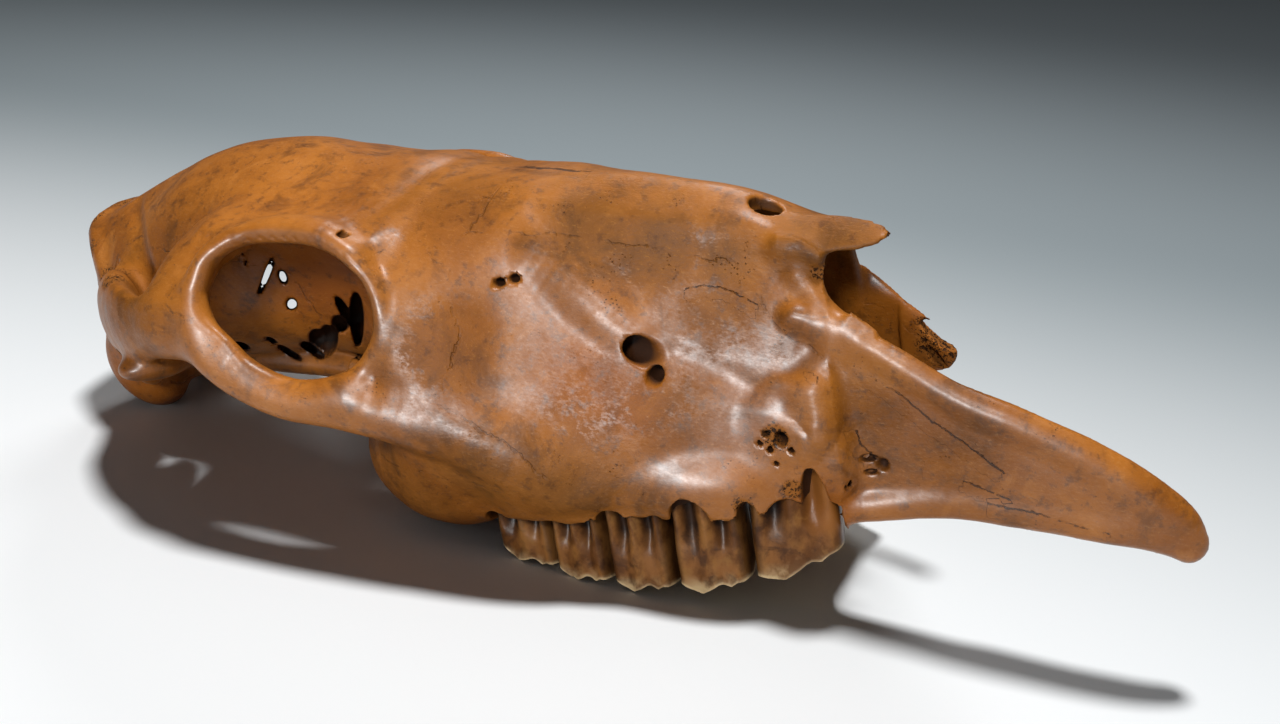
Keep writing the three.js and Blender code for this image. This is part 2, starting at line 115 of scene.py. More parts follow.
# The roof's shelf over each orbit, out to the rim.
BROW = [
    (140, 60, 169, 14, 4), (160, 60, 169, 17, 4), (184, 59, 168.5, 18, 4), (205, 58, 165.5, 17, 4),
    (221, 60, 158, 13, 4),
]
NUCHAL_CREST = [
    (3, 0, 160, 4, 5), (7, 20, 157, 4, 5), (17, 33, 147, 4, 5), (28, 43, 128, 4, 5), (35, 49, 104, 5, 6),
]
CONDYLE_NECK = [(6, 0, 104, 6, 8), (10, 18, 118, 8, 8), (16, 34, 110, 8, 8)]
PARACONDYLAR = [(34, 42, 104, 7, 8), (36, 43, 92, 6, 6), (38, 43, 84, 4, 5)]
SKULL_BASE = [(20, 0, 72, 16, 9), (60, 0, 78, 13, 9), (110, 0, 77, 13, 9), (160, 0, 74, 14, 10)]
PTERYGOID_PLATE = [
    (150, 17, 76, 3, 10), (180, 22, 60, 3, 18), (205, 25, 52, 3.5, 20), (232, 27, 50, 5, 18),
]
PREMAXILLA_BLADE = [
    (396, -30, 76, 4, 46), (410, -29, 68, 4, 44), (426, -28.5, 64, 3.6, 39), (449, -28, 58, 3.6, 31),
    (478, -27, 50, 4.6, 25), (507, -24, 40, 5.6, 19), (525, -21, 31, 6.5, 14), (536, -18, 23, 5.5, 10),
    (541, -16, 17, 4, 6),
]
PREMAXILLA_RIDGE = [
    (396, -22, 128, 4, 4), (405, -24, 118, 4, 4), (425, -27, 101, 4, 4), (448, -28, 86, 4, 4),
    (462, -28, 78, 5, 5), (478, -27, 71, 5, 5), (503, -24, 57, 6, 6), (524, -21, 41, 6, 6),
    (536, -18, 29, 5, 6), (541, -16, 15, 4, 5),
]
PREMAXILLA_FOOT = [
    (400, -34, 28, 6, 6), (423, -30, 31, 5, 6), (452, -27, 34, 5, 6), (475, -25, 32, 6, 6),
    (503, -23, 28, 6, 7), (525, -20, 24, 6, 7), (540, -16, 16, 4, 5),
]
PREMAXILLA_STUB = [
    (396, 30, 92, 3.6, 26), (414, 29, 84, 3.6, 20), (430, 27, 80, 3.6, 14), (442, 24, 80, 4.5, 10),
]
FORAMEN_MAGNUM = [(-12, 0, 93, 17, 16), (20, 0, 98, 15, 15), (36, 0, 104, 9, 10)]
CHOANA = [(150, 0, 66, 8, 8), (190, 0, 62, 17, 14), (240, 0, 60, 20, 18), (275, 0, 66, 18, 16)]
INFRAORBITAL_CANAL = [(366, 62, 90, 8, 7), (343, 52, 103, 6.5, 6.5), (326, 43, 107, 4, 5)]
PREMAXILLA_HOLLOW = [
    (412, -43, 70, 6, 16), (432, -41, 66, 7, 15), (456, -39, 60, 7.4, 13), (480, -37.5, 52, 6.6, 10),
    (505, -35, 42, 6, 7),
]

# The face's soft hollows and swellings.
NASAL_HOLLOW = [
    (290, 36, 167, 4, 4), (305, 36, 163, 7, 7), (333, 36.5, 152, 8, 8), (350, 35, 147, 8, 8),
    (368, 33, 143, 7, 7), (386, 33, 134, 6, 6), (398, 33, 126, 3, 3),
]
CHEEK_SWELL = [
    (286, 33, 141, 12, 12), (301, 34, 130, 14, 14), (314, 35, 119, 14, 14), (326, 36, 108, 12, 12),
]
CREST_SWELL = [(244, 76, 92, 12, 12), (262, 75, 80, 14, 14), (279, 70, 70, 14, 14), (295, 65, 60, 12, 12)]
CANAL_GROOVE = [(350, 50, 104, 5, 5), (362, 49, 98.5, 5, 5), (376, 47, 90.5, 5, 5), (391, 47, 84, 3, 3)]
TEMPORAL_GROOVE = [
    (36, 19, 173, 3, 3), (47, 33, 166, 4, 4), (61, 48, 157, 5, 5), (70, 57, 149, 5, 5),
    (76, 62, 138, 4, 4),
]

# Crowns: name, back and front along the row, cheek face's y at back and front.
CROWNS = [
    ("P2", 367, 406, 49, 38), ("P3", 335, 367, 57, 51), ("P4", 306.5, 335, 62, 59),
    ("M1", 280.5, 306.5, 63, 63), ("M2", 251.5, 280.5, 62, 63),
]

CROWN_TOPS = {"P2": 50.0, "P3": 44.0, "P4": 41.0, "M1": 40.0, "M2": 38.0}
HALF_CROWN = 12.5  # from a crown's cheek face to its middle
CUSP_DROP = 4.5  # how far the deepest cusp hangs below the rest of a crown's edge
# The chewing edge: lowest here, at this height, bending up behind and in front.
LOWEST_AT, LOWEST, BEND_BEHIND, BEND_IN_FRONT = 342.0, -6.5, 0.0018, 0.0037
# How far the bone's surface swells and ripples at random.
SWELL, RIPPLE = 0.4, 0.06


# ---- distance fields: negative inside the bone ----
def soft_min(a, b, k):
    h = np.maximum(k - np.abs(a - b), 0) / k
    return np.minimum(a, b) - h * h * k * 0.25


def turn_matrix(rx, ry, rz):
    turn = Matrix.Rotation(math.radians(rz), 3, "Z") @ Matrix.Rotation(math.radians(ry), 3, "Y")
    return np.array(turn @ Matrix.Rotation(math.radians(rx), 3, "X"), np.float32)


def smooth_table(xs, rows, at):
    """Values of the rows' columns at new places, along a curve through the rows."""
    xs, rows = np.asarray(xs, float), np.asarray(rows, float)
    gap = np.diff(xs)
    slope = np.diff(rows, axis=0) / gap[:, None]
    lean = np.vstack([slope[:1], 0.5 * (slope[:-1] + slope[1:]), slope[-1:]])
    i = np.clip(np.searchsorted(xs, at) - 1, 0, len(xs) - 2)
    t = ((at - xs[i]) / gap[i])[:, None]
    h = gap[i][:, None]
    start, end = 2 * t**3 - 3 * t**2 + 1, 3 * t**2 - 2 * t**3
    leaving, coming = (t**3 - 2 * t**2 + t) * h, (t**3 - t**2) * h
    return start * rows[i] + leaving * lean[i] + end * rows[i + 1] + coming * lean[i + 1]


class Egg:
    """An ellipsoid."""

    def __init__(self, centre, radii, turn=(0, 0, 0)):
        self.centre, self.radii = np.array(centre, np.float32), np.array(radii, np.float32)
        self.turn = turn_matrix(*turn)
        reach = np.abs(self.turn) @ self.radii
        self.low, self.high = self.centre - reach, self.centre + reach

    def __call__(self, p):
        q = (p - self.centre) @ self.turn
        near = np.linalg.norm(q / self.radii, axis=-1)
        steep = np.linalg.norm(q / self.radii**2, axis=-1)
        return near * (near - 1) / np.maximum(steep, 1e-6)


class Bar:
    """A bar of oval section bent along its stations: x, y, z, half-breadth, half-height."""

    def __init__(self, stations, up=(0, 0, 1), per_span=4):
        rows = np.array(stations, float)
        spans = len(rows) - 1
        between = np.linspace(0, spans, spans * per_span + 1)
        self.keys = smooth_table(np.arange(len(rows)), rows, between).astype(np.float32)
        self.up = np.array(up, np.float32)
        reach = self.keys[:, 3:].max(1)[:, None]
        self.low, self.high = (self.keys[:, :3] - reach).min(0), (self.keys[:, :3] + reach).max(0)

    def __call__(self, p):
        best = None
        for a, b in zip(self.keys[:-1], self.keys[1:]):
            run = b[:3] - a[:3]
            length = np.linalg.norm(run) + 1e-6
            ahead = run / length
            rise = self.up - (self.up @ ahead) * ahead
            rise /= np.linalg.norm(rise)
            away = p - a[:3]
            t = np.clip((away @ ahead) / length, 0, 1)
            q = (away - t[:, None] * run) @ np.stack([rise, np.cross(ahead, rise), ahead], 1)
            breadth, height = a[3] + t * (b[3] - a[3]), a[4] + t * (b[4] - a[4])
            size = np.stack([height, breadth, np.minimum(breadth, height)], 1)
            q /= size
            near = np.sqrt((q * q).sum(1))
            q /= size
            steep = np.sqrt((q * q).sum(1))
            d = near * (near - 1) / np.maximum(steep, 1e-6)
            best = d if best is None else np.minimum(best, d)
        return best


class Skin:
    """A body through cross-sections that are the same on both sides."""

    def __init__(self, sections, step=3.0, rays=97):
        xs = [s[0] for s in sections]
        angles = np.linspace(0, math.pi, rays)
        table = []
        for _, middle, points in sections:
            loop = [(-points[1][0], points[1][1]), *points, (-points[-2][0], points[-2][1])]
            line = smooth_table(range(len(loop)), loop, np.linspace(1, len(loop) - 2, len(loop) * 12))
            side, rise = np.maximum(line[:, 0], 0), line[:, 1] - middle
            angle = np.maximum.accumulate(np.arctan2(side, rise) + np.arange(len(line)) * 1e-7)
            table.append(np.append(np.interp(angles, angle, np.hypot(side, rise)), middle))
        self.at = np.arange(xs[0], xs[-1] + step, step)
        grid = smooth_table(xs, table, self.at).astype(np.float32)
        self.step, self.rays = step, rays
        self.radius, self.middle = grid[:, :-1], grid[:, -1]
        self.by_angle = np.gradient(self.radius, math.pi / (rays - 1), axis=1)
        self.by_x = np.gradient(self.radius, step, axis=0)
        widest = self.radius.max()
        self.low = np.array([self.at[0], -widest, self.middle.min() - widest])
        self.high = np.array([self.at[-1], widest, self.middle.max() + widest])

    def __call__(self, p):
        u = np.clip((p[:, 0] - self.at[0]) / self.step, 0, len(self.at) - 1.001)
        i = u.astype(np.int32)
        fu = u - i
        rise = p[:, 2] - (self.middle[i] * (1 - fu) + self.middle[i + 1] * fu)
        side = np.abs(p[:, 1])
        reach = np.hypot(side, rise) + 1e-4
        v = np.clip(np.arctan2(side, rise) / math.pi * (self.rays - 1), 0, self.rays - 1.001)
        j = v.astype(np.int32)
        fv = v - j

        def read(grid):
            near = grid[i, j] * (1 - fu) + grid[i + 1, j] * fu
            return near * (1 - fv) + (grid[i, j + 1] * (1 - fu) + grid[i + 1, j + 1] * fu) * fv

        lean = 1 + np.minimum((read(self.by_angle) / reach) ** 2, 9) + np.minimum(read(self.by_x) ** 2, 4)
        beyond = np.maximum(self.at[0] - p[:, 0], p[:, 0] - self.at[-1])
        return np.maximum((reach - read(self.radius)) / np.sqrt(lean), beyond)


class Lumps:
    """Smooth random values, from -1 to 1, at about one per cell."""

    def __init__(self, seed, cell, size=24):
        self.values = np.random.RandomState(seed).uniform(-1, 1, (size, size, size)).astype(np.float32)
        self.cell, self.size = cell, size

    def __call__(self, p):
        q = p / self.cell + 1000.0
        i = np.floor(q).astype(np.int32)
        f = q - i
        f = f * f * (3 - 2 * f)
        i %= self.size
        j = (i + 1) % self.size
        x, y, z = f[:, 0], f[:, 1], f[:, 2]
        read = self.values
        low = (read[i[:, 0], i[:, 1], i[:, 2]] * (1 - x) + read[j[:, 0], i[:, 1], i[:, 2]] * x) * (1 - y)
        low += (read[i[:, 0], j[:, 1], i[:, 2]] * (1 - x) + read[j[:, 0], j[:, 1], i[:, 2]] * x) * y
        high = (read[i[:, 0], i[:, 1], j[:, 2]] * (1 - x) + read[j[:, 0], i[:, 1], j[:, 2]] * x) * (1 - y)
        high += (read[i[:, 0], j[:, 1], j[:, 2]] * (1 - x) + read[j[:, 0], j[:, 1], j[:, 2]] * x) * y
        return low * (1 - z) + high * z


# ---- the skull as one field ----
# The slits of the orbit's thin inner wall open towards this place, in front, to the right and above.
SLIT_AIM = np.array([581.0, -484.8, 294.0])
# Openings in that wall: a point on it, half-breadth, half-length, lean of the length, depth.
WALL_SLITS = [
    ((177, -34, 112), 3.2, 13, 0.25, 40), ((171, -34, 116), 2.2, 8.5, -0.4, 36),
    ((164, -32, 109), 3.4, 4.5, -0.6, 36), ((149, -27, 98), 5, 8.5, 0.5, 30),
    ((143, -27, 99), 4, 5, -0.4, 28), ((137, -25, 91), 1.9, 6, -1.2, 26),
    ((120, -25, 90), 1.7, 7.5, -1.8, 26), ((118, -33, 100), 1.1, 3.4, -3, 20),
    ((98, -34, 97), 1.7, 4.5, -4, 20), ((131, -22, 92), 2, 5, -2, 26),
]
# Gaps right through it: the same, without a depth.
LIGHT_GAPS = [
    ((128, -45, 145), 0.9, 1.8, 0.5), ((139, -45, 138.5), 1.7, 10, 0.85),
    ((147, -43, 137), 2.0, 3.8, -0.1), ((145, -40, 122), 2.8, 3.0, 0.5),
    ((128, -45, 149.5), 0.5, 1.4, -0.8),
]
# Small openings: place, half-sizes along x, across and up.
FORAMINA = [
    ((276, -64, 137.5), (2.6, 24, 2.2)), ((281.5, -66, 138), (3.0, 24, 2.4)),
    ((340, -54, 95), (3.2, 16, 3.6)), ((390, -43, 67), (2.8, 9, 3.2)), ((384, -46, 69), (1.7, 7, 1.5)),
    ((385, -45, 62), (1.5, 7, 1.5)), ((381, -46, 65), (1.3, 6, 1.3)), ((394, -41, 62), (1.5, 7, 1.4)),
    ((387, -46, 56), (1.3, 6, 1.3)), ((422, -34, 54), (4.0, 5, 1.8)), ((427, -33, 51), (2.8, 5, 3.4)),
    ((422, -34, 47.5), (3.4, 5, 1.5)), ((412, -35, 44), (2.6, 4, 1.8)), ((409, -36, 47), (1.6, 4, 1.6)),
    ((114, -88, 146), (2.2, 7, 2.6)), ((216, -73, 166), (1.8, 3, 1.8)), ((170, -63, 186), (2.0, 5, 2.5)),
    ((42, -50, 146), (3.5, 6, 5.0)),
]
# The forked, broken end of the left premaxilla: place, half-sizes, turn.
STUB_BREAKS = [
    ((443, 24, 84), (14, 14, 3.4), (0, 30, 0)), ((452, 24, 66), (10, 14, 9), (0, 40, 0)),
    ((455, 24, 93), (9, 14, 5), (0, 20, 0)), ((437, 22, 76), (6, 5, 2), (0, 50, 0)),
]
# Broken edges of the tooth sockets: place, half-sizes.
SOCKET_BREAKS = [
    ((257, -64, 28), (5, 8, 8)), ((286, -66, 26), (7, 8, 6)), ((314, -64, 29), (7, 9, 9)),
    ((334, -62, 28), (4, 9, 7)), ((349, -58, 33), (8, 9, 12)), ((373, -51, 32), (4, 9, 9)),
    ((388, -46, 30), (8, 9, 9)), ((400, -41, 35), (5.5, 10, 19)),
]


def towards(point, aim=SLIT_AIM):
    run = np.asarray(point, float) - aim
    return run / np.linalg.norm(run)


class Carving:
    """The whole skull: shapes joined and cut in turn, each looked at only near itself."""

    def __init__(self):
        self.steps = []
        self.swell, self.ripple = Lumps(11, 17.0), Lumps(12, 5.0)
        self.join(Skin(BRAINCASE), 1)
        self.join(Skin(FACE), 2.5)
        self.cut(Egg((191, -84, 138), (43, 46, 34), (0, 0, 14)), 3, False)
        self.cut(Egg((191, 84, 138 - LEFT_RIM_DROP), (43, 46, 34), (0, 0, -14)), 3, False)
        right_rim = [(x, -y, z, w, h) for x, y, z, w, h in ORBIT_RIM]
        left_rim = [(x, y, z - LEFT_RIM_DROP, w, h) for x, y, z, w, h in ORBIT_RIM]
        self.join(Bar(right_rim, (0, 1, 0)), 5, False)
        self.join(Bar(left_rim, (0, 1, 0)), 5, False)
        self.join(Bar(POSTORBITAL_BAR, (0, 1, 1)), 9)
        self.join(Bar([(x, -y, z, w, h) for x, y, z, w, h in BROW]), 12, False)
        self.join(Bar([(x, y - 6, z - LEFT_RIM_DROP - 5, w, h) for x, y, z, w, h in BROW]), 6, False)
        self.join(Bar(ARCH), 9)
        self.join(Egg((92, 80, 108), (14, 22, 8), (8, 0, 0)), 6)
        self.join(Egg((72, 70, 104), (7, 9, 13)), 6)
        self.join(Egg((221, 50, 52), (36, 24, 32), (0, 20, 0)), 18)
        self.join(Egg((352, 49, 45), (33, 12, 14), (0, 6, -13)), 8)
        self.join(Egg((392, 37, 62), (16, 6, 26), (0, -8, -12)), 8)
        self.join(Bar(NUCHAL_CREST), 8)
        self.join(Bar(CONDYLE_NECK), 6)
        self.join(Egg((15, 24, 82), (22, 17, 28), (-14, 0, 0)), 6)
        self.join(Bar(PARACONDYLAR, (1, 0, 0)), 6)
        self.join(Bar(SKULL_BASE), 6)
        self.join(Bar(PTERYGOID_PLATE), 5)
        self.join(Bar(PREMAXILLA_BLADE), 9, False)
        self.join(Bar([(396, -30, 115, 4, 5), (408, -29.5, 108, 3, 5), (418, -28, 101, 3, 5)]), 5, False)
        self.join(Bar([(403, -34, 84, 3, 5), (404, -36, 66, 3, 7), (403, -36, 44, 3, 7)]), 14, False)
        self.join(Bar([(390, -21, 141, 2, 4), (398, -21, 140, 2, 4), (406, -22, 136, 2, 3)]), 8, False)
        self.join(Bar(PREMAXILLA_RIDGE), 5, False)
        self.join(Bar(PREMAXILLA_FOOT), 5, False)
        self.join(Bar(PREMAXILLA_STUB), 4, False)
        self.cut(Bar(PREMAXILLA_HOLLOW), 11)
        self.cut(Bar(NASAL_HOLLOW), 9)
        self.join(Bar(CHEEK_SWELL), 7)
        self.join(Bar(CREST_SWELL), 7)
        self.cut(Bar(CANAL_GROOVE), 7)
        self.cut(Bar(TEMPORAL_GROOVE), 5)
        self.join(Egg((402, -11, 142.5), (30, 10, 2.8), (28, 1, 0)), 4, False)
        self.join(Egg((398, 11, 137.5), (29, 14, 2.8), (-33, 5, 0)), 4, False)
        self.cut(Skin(NASAL_CAVITY), 3)
        self.cut(Bar(FORAMEN_MAGNUM), 4)
        self.cut(Bar(CHOANA), 4)
        self.whole = len(self.steps)  # what follows are small openings
        self.cut(Bar(INFRAORBITAL_CANAL), 2)
        self.cut(Egg((379, -4, 152), (7, 6, 9)), 1.5, False)
        for place, breadth, length, lean, depth in WALL_SLITS:
            self.cut_towards(place, breadth, length, lean, 8, depth)
        for place, breadth, length, lean in LIGHT_GAPS:
            self.cut_towards(place, breadth, length, lean, 12, 150)
        for place, size in FORAMINA:
            self.cut(Egg(place, size), 0.8, False)
        for place, size, turn in STUB_BREAKS:
            self.cut(Egg(place, size, turn), 1, False)
        for place, size in SOCKET_BREAKS:
            self.cut(Egg(place, size), 1.5, False)
        for row in CROWNS:
            self.cut(Socket(row), 1)

    def join(self, shape, blend, both=True):
        self.steps.append((shape, blend, both, 1))

    def cut(self, shape, blend, both=True):
        self.steps.append((shape, blend, both, -1))

    def cut_towards(self, place, breadth, length, lean, before, beyond):
        start, run = np.array(place, float), towards(place)
        ends = [start - run * before, start + run * beyond]
        self.cut(Bar([(*end, breadth, length) for end in ends], (lean, 0, 1), 1), 0.6, False)

    def __call__(self, p, whole=False):
        """Distance from the skull's surface, or from what it would be without its small openings."""
        folded = p.copy()
        folded[:, 1] = np.abs(p[:, 1])
        d = np.full(len(p), 60.0, np.float32)
        for shape, blend, both, sign in self.steps[: self.whole if whole else None]:
            q = folded if both else p
            pad = blend + 8.0
            near = np.all((q > shape.low - pad) & (q < shape.high + pad), axis=1)
            if near.any():
                d[near] = sign * soft_min(sign * d[near], shape(q[near]), blend)
        close = np.abs(d) < 8
        d[close] += SWELL * self.swell(p[close]) + RIPPLE * self.ripple(p[close])
        return d


class Socket:
    """The space that one crown stands in, a little wider than the crown."""

    def __init__(self, row, room=1.1, top=36.0):
        _, back, front, cheek_back, cheek_front = row
        self.half = np.array([(front - back) / 2 + room, HALF_CROWN + room, 30.0], np.float32)
        middle = (cheek_back + cheek_front) / 2 - HALF_CROWN
        self.centre = np.array([(back + front) / 2, middle, top - 30.0], np.float32)
        self.turn = turn_matrix(0, 0, math.degrees(math.atan2(cheek_front - cheek_back, front - back)))
        reach = np.abs(self.turn) @ self.half
        self.low, self.high = self.centre - reach, self.centre + reach

    def __call__(self, p):
        q = np.abs((p - self.centre) @ self.turn) - self.half + 3.0
        return np.linalg.norm(np.maximum(q, 0), axis=1) + np.minimum(q.max(1), 0) - 3.0


# ---- from field to mesh ----
STEP = 1.5  # size of the surface's squares
REACH = (np.array([-14.0, -118.0, -12.0]), np.array([556.0, 118.0, 206.0]))


def narrow_band(field, step, coarse=4):
    """Field values on a grid, worked out only near the surface."""
    low, high = REACH
    blocks = np.ceil((high - low) / step / coarse).astype(int)
    middles = [low[k] + (np.arange(blocks[k]) + 0.5) * step * coarse for k in range(3)]
    centres = np.stack(np.meshgrid(*middles, indexing="ij"), -1).astype(np.float32).reshape(-1, 3)
    rough = np.concatenate([field(part) for part in np.array_split(centres, 24)]).reshape(blocks)
    values = np.sign(rough)
    for axis in range(3):
        values = np.repeat(values, coarse, axis)
    values = np.pad(values, ((0, 1),) * 3, mode="edge") * np.float32(99)
    wanted = np.zeros(values.shape, bool)
    for i, j, k in np.argwhere(np.abs(rough) < step * coarse * 1.5) * coarse:
        wanted[i : i + coarse + 1, j : j + coarse + 1, k : k + coarse + 1] = True
    places = np.argwhere(wanted)
    points = (low + places * step).astype(np.float32)
    found = np.concatenate([field(part) for part in np.array_split(points, 40)])
    values[tuple(places.T)] = found
    return values


def surface(values, step):
    """Closed quads between the grid's inside and outside, with their corners on the surface."""
    inside = values < 0
    size = np.array(values.shape) - 1
    some, every = np.zeros(size, bool), np.ones(size, bool)
    corners = [(a, b, c) for a in (0, 1) for b in (0, 1) for c in (0, 1)]
    for a, b, c in corners:
        here = inside[a : size[0] + a, b : size[1] + b, c : size[2] + c]
        some |= here
        every &= here
    cells = np.argwhere(some & ~every)
    number = np.full(size, -1, np.int64)
    number[tuple(cells.T)] = np.arange(len(cells))
    at = np.stack([values[tuple((cells + corner).T)] for corner in corners], 1)
    total, count = np.zeros((len(cells), 3)), np.zeros(len(cells))
    for i, first in enumerate(corners):
        for j, second in enumerate(corners):
            if i < j and sum(abs(u - v) for u, v in zip(first, second)) == 1:
                crossed = (at[:, i] < 0) != (at[:, j] < 0)
                t = np.where(crossed, at[:, i] / np.where(crossed, at[:, i] - at[:, j], 1), 0)[:, None]
                total += np.where(crossed[:, None], first + t * (np.array(second) - first), 0)
                count += crossed
    points = REACH[0] + (cells + total / count[:, None]) * step
    quads = []
    for axis in range(3):
        near = tuple(slice(0, -1) if k == axis else slice(1, -1) for k in range(3))
        far = tuple(slice(1, None) if k == axis else slice(1, -1) for k in range(3))
        start = np.array([0 if k == axis else 1 for k in range(3)])
        side, up = np.eye(3, dtype=int)[(axis + 1) % 3], np.eye(3, dtype=int)[(axis + 2) % 3]
        for leaving in (True, False):
            crossing = (inside[near] & ~inside[far]) if leaving else (~inside[near] & inside[far])
            edge = np.argwhere(crossing) + start
            ring = [edge - side - up, edge - up, edge, edge - side]
            quad = np.stack([number[tuple(corner.T)] for corner in ring], 1)
            quads.append(quad if leaving else quad[:, ::-1])
    return points, np.concatenate(quads)


def field_slope(field, points, reach=0.7):
    """Unit outward direction of the field at each point."""
    slope = np.empty_like(points)
    for axis in range(3):
        shift = np.zeros(3, np.float32)
        shift[axis] = reach
        ahead = np.concatenate([field(part) for part in np.array_split(points + shift, 16)])
        behind = np.concatenate([field(part) for part in np.array_split(points - shift, 16)])
        slope[:, axis] = ahead - behind
    return slope / np.maximum(np.linalg.norm(slope, axis=1, keepdims=True), 1e-6)


# ---- the bones' outlines in side view, (x, z), each with its span across ----
FAR = 150.0
OCCIPITAL = [(-20, 40), (34, 40), (34, 90), (30, 120), (34, 150), (22, 172), (-20, 190)]
SPHENOID = [(34, 40), (150, 20), (214, 20), (222, 92), (150, 98), (34, 90)]
PALATINE = [(214, 20), (268, 10), (272, 60), (262, 92), (222, 92)]
TEMPORAL = [
    (34, 40), (120, 40), (158, 100), (151, 140), (118, 150), (60, 158), (34, 150), (30, 120), (34, 90),
]
ZYGOMATIC = [
    (151, 140), (158, 100), (150, 60), (250, 60), (285, 48), (300, 56), (286, 76), (262, 92), (238, 108),
    (214, 112), (176, 116), (164, 140),
]
LACRIMAL = [(214, 112), (238, 108), (256, 98), (264, 120), (258, 146), (238, 160), (214, 152)]
PARIETAL = [(22, 172), (34, 150), (30, 120), (34, 90), (150, 98), (130, 150), (124, 205), (10, 205)]
FRONTAL = [(116, 205), (116, 152), (130, 146), (150, 98), (222, 92), (232, 150), (262, 158), (268, 190)]
NASAL = [(268, 190), (262, 158), (300, 152), (340, 142), (372, 134), (398, 129), (440, 122), (440, 190)]
PREMAXILLA = [
    (440, 123), (398, 130), (372, 134), (392, 108), (410, 98), (437, 81), (447, 60), (430, 10),
    (570, -20), (570, 123),
]
MAXILLA = [(-99, -99), (999, -99), (999, 999), (-99, 999)]
# In the order in which they take their share of the surface.
BONES = [
    ("occipital", OCCIPITAL, -FAR, FAR), ("sphenoid", SPHENOID, -31, 31), ("palatine", PALATINE, -28, 28),
]


def pair(name, outline, nearest):
    """A right and a left bone of one outline, from this far off the middle."""
    return [(name + "_right", outline, -FAR, -nearest), (name + "_left", outline, nearest, FAR)]


BONES += pair("temporal", TEMPORAL, 33) + pair("zygomatic", ZYGOMATIC, 64) + pair("lacrimal", LACRIMAL, 40)
BONES.append(("parietal", PARIETAL, -58, 58))
FACE_FIRST = len(BONES)  # from here on, the bones of the face
BONES += pair("frontal", FRONTAL, 0) + pair("nasal", NASAL, 0)
BONES += pair("premaxilla", PREMAXILLA, 0) + pair("maxilla", MAXILLA, 0)


def within(outline, x, z):
    """Whether each (x, z) lies inside the outline."""
    hit = np.zeros(len(x), bool)
    for (x0, z0), (x1, z1) in zip(outline, outline[1:] + outline[:1]):
        if z0 != z1:
            hit ^= ((z0 > z) != (z1 > z)) & (x < (x1 - x0) * (z - z0) / (z1 - z0) + x0)
    return hit


def bone_of(points):
    """The number of the bone that each point of the surface belongs to, along slightly wavy sutures."""
    wave = np.stack([Lumps(seed, 5.0)(points.astype(np.float32)) for seed in (3, 4, 5)], 1)
    x, y, z = (points + 1.3 * wave).T
    label = np.full(len(points), -1)
    for number, (_, outline, low, high) in enumerate(BONES):
        label[(label < 0) & (y >= low) & (y <= high) & within(outline, x, z)] = number
    return label


def resting(points):
    """From the skull's own frame, in millimetres, to the resting frame, in metres."""
    c, s = math.cos(PITCH), math.sin(PITCH)
    x, y, z = points.T
    return np.stack([c * x - s * z, y, s * x + c * z], 1) / 1000 + np.array(SKULL_ORIGIN) / 1000


def mesh_from(name, points, quads, facts=None):
    """A Blender mesh object from arrays, with its facts as point attributes."""
    mesh = bpy.data.meshes.new(name)
    mesh.vertices.add(len(points))
    mesh.vertices.foreach_set("co", np.asarray(points, np.float32).ravel())
    mesh.loops.add(quads.size)
    mesh.loops.foreach_set("vertex_index", quads.ravel().astype(np.int32))
    mesh.polygons.add(len(quads))
    mesh.polygons.foreach_set("loop_start", np.arange(0, quads.size, 4, dtype=np.int32))
    mesh.update(calc_edges=True)
    for key, values in (facts or {}).items():
        mesh.attributes.new(key, "FLOAT", "POINT").data.foreach_set("value", values.astype(np.float32))
    mesh.polygons.foreach_set("use_smooth", np.ones(len(quads), bool))
    piece = bpy.data.objects.new(name, mesh)
    bpy.context.collection.objects.link(piece)
    return piece


def shell(points, slope, quads, thickness):
    """A closed wall: the quads outside, a copy of them inside, and a rim that joins the two."""
    used, inverse = np.unique(quads, return_inverse=True)
    outer = inverse.reshape(quads.shape)
    count = len(used)
    edges = np.concatenate([outer[:, [k, (k + 1) % 4]] for k in range(4)])
    key = edges[:, 0] * count + edges[:, 1]
    back = edges[:, 1] * count + edges[:, 0]
    open_edges = edges[~np.isin(key, back)]
    start, end = open_edges.T
    rim = np.stack([end, start, start + count, end + count], 1)
    faces = np.concatenate([outer, outer[:, ::-1] + count, rim])
    both = np.concatenate([points[used], points[used] - slope[used] * thickness])
    return both, faces, np.concatenate([used, used])


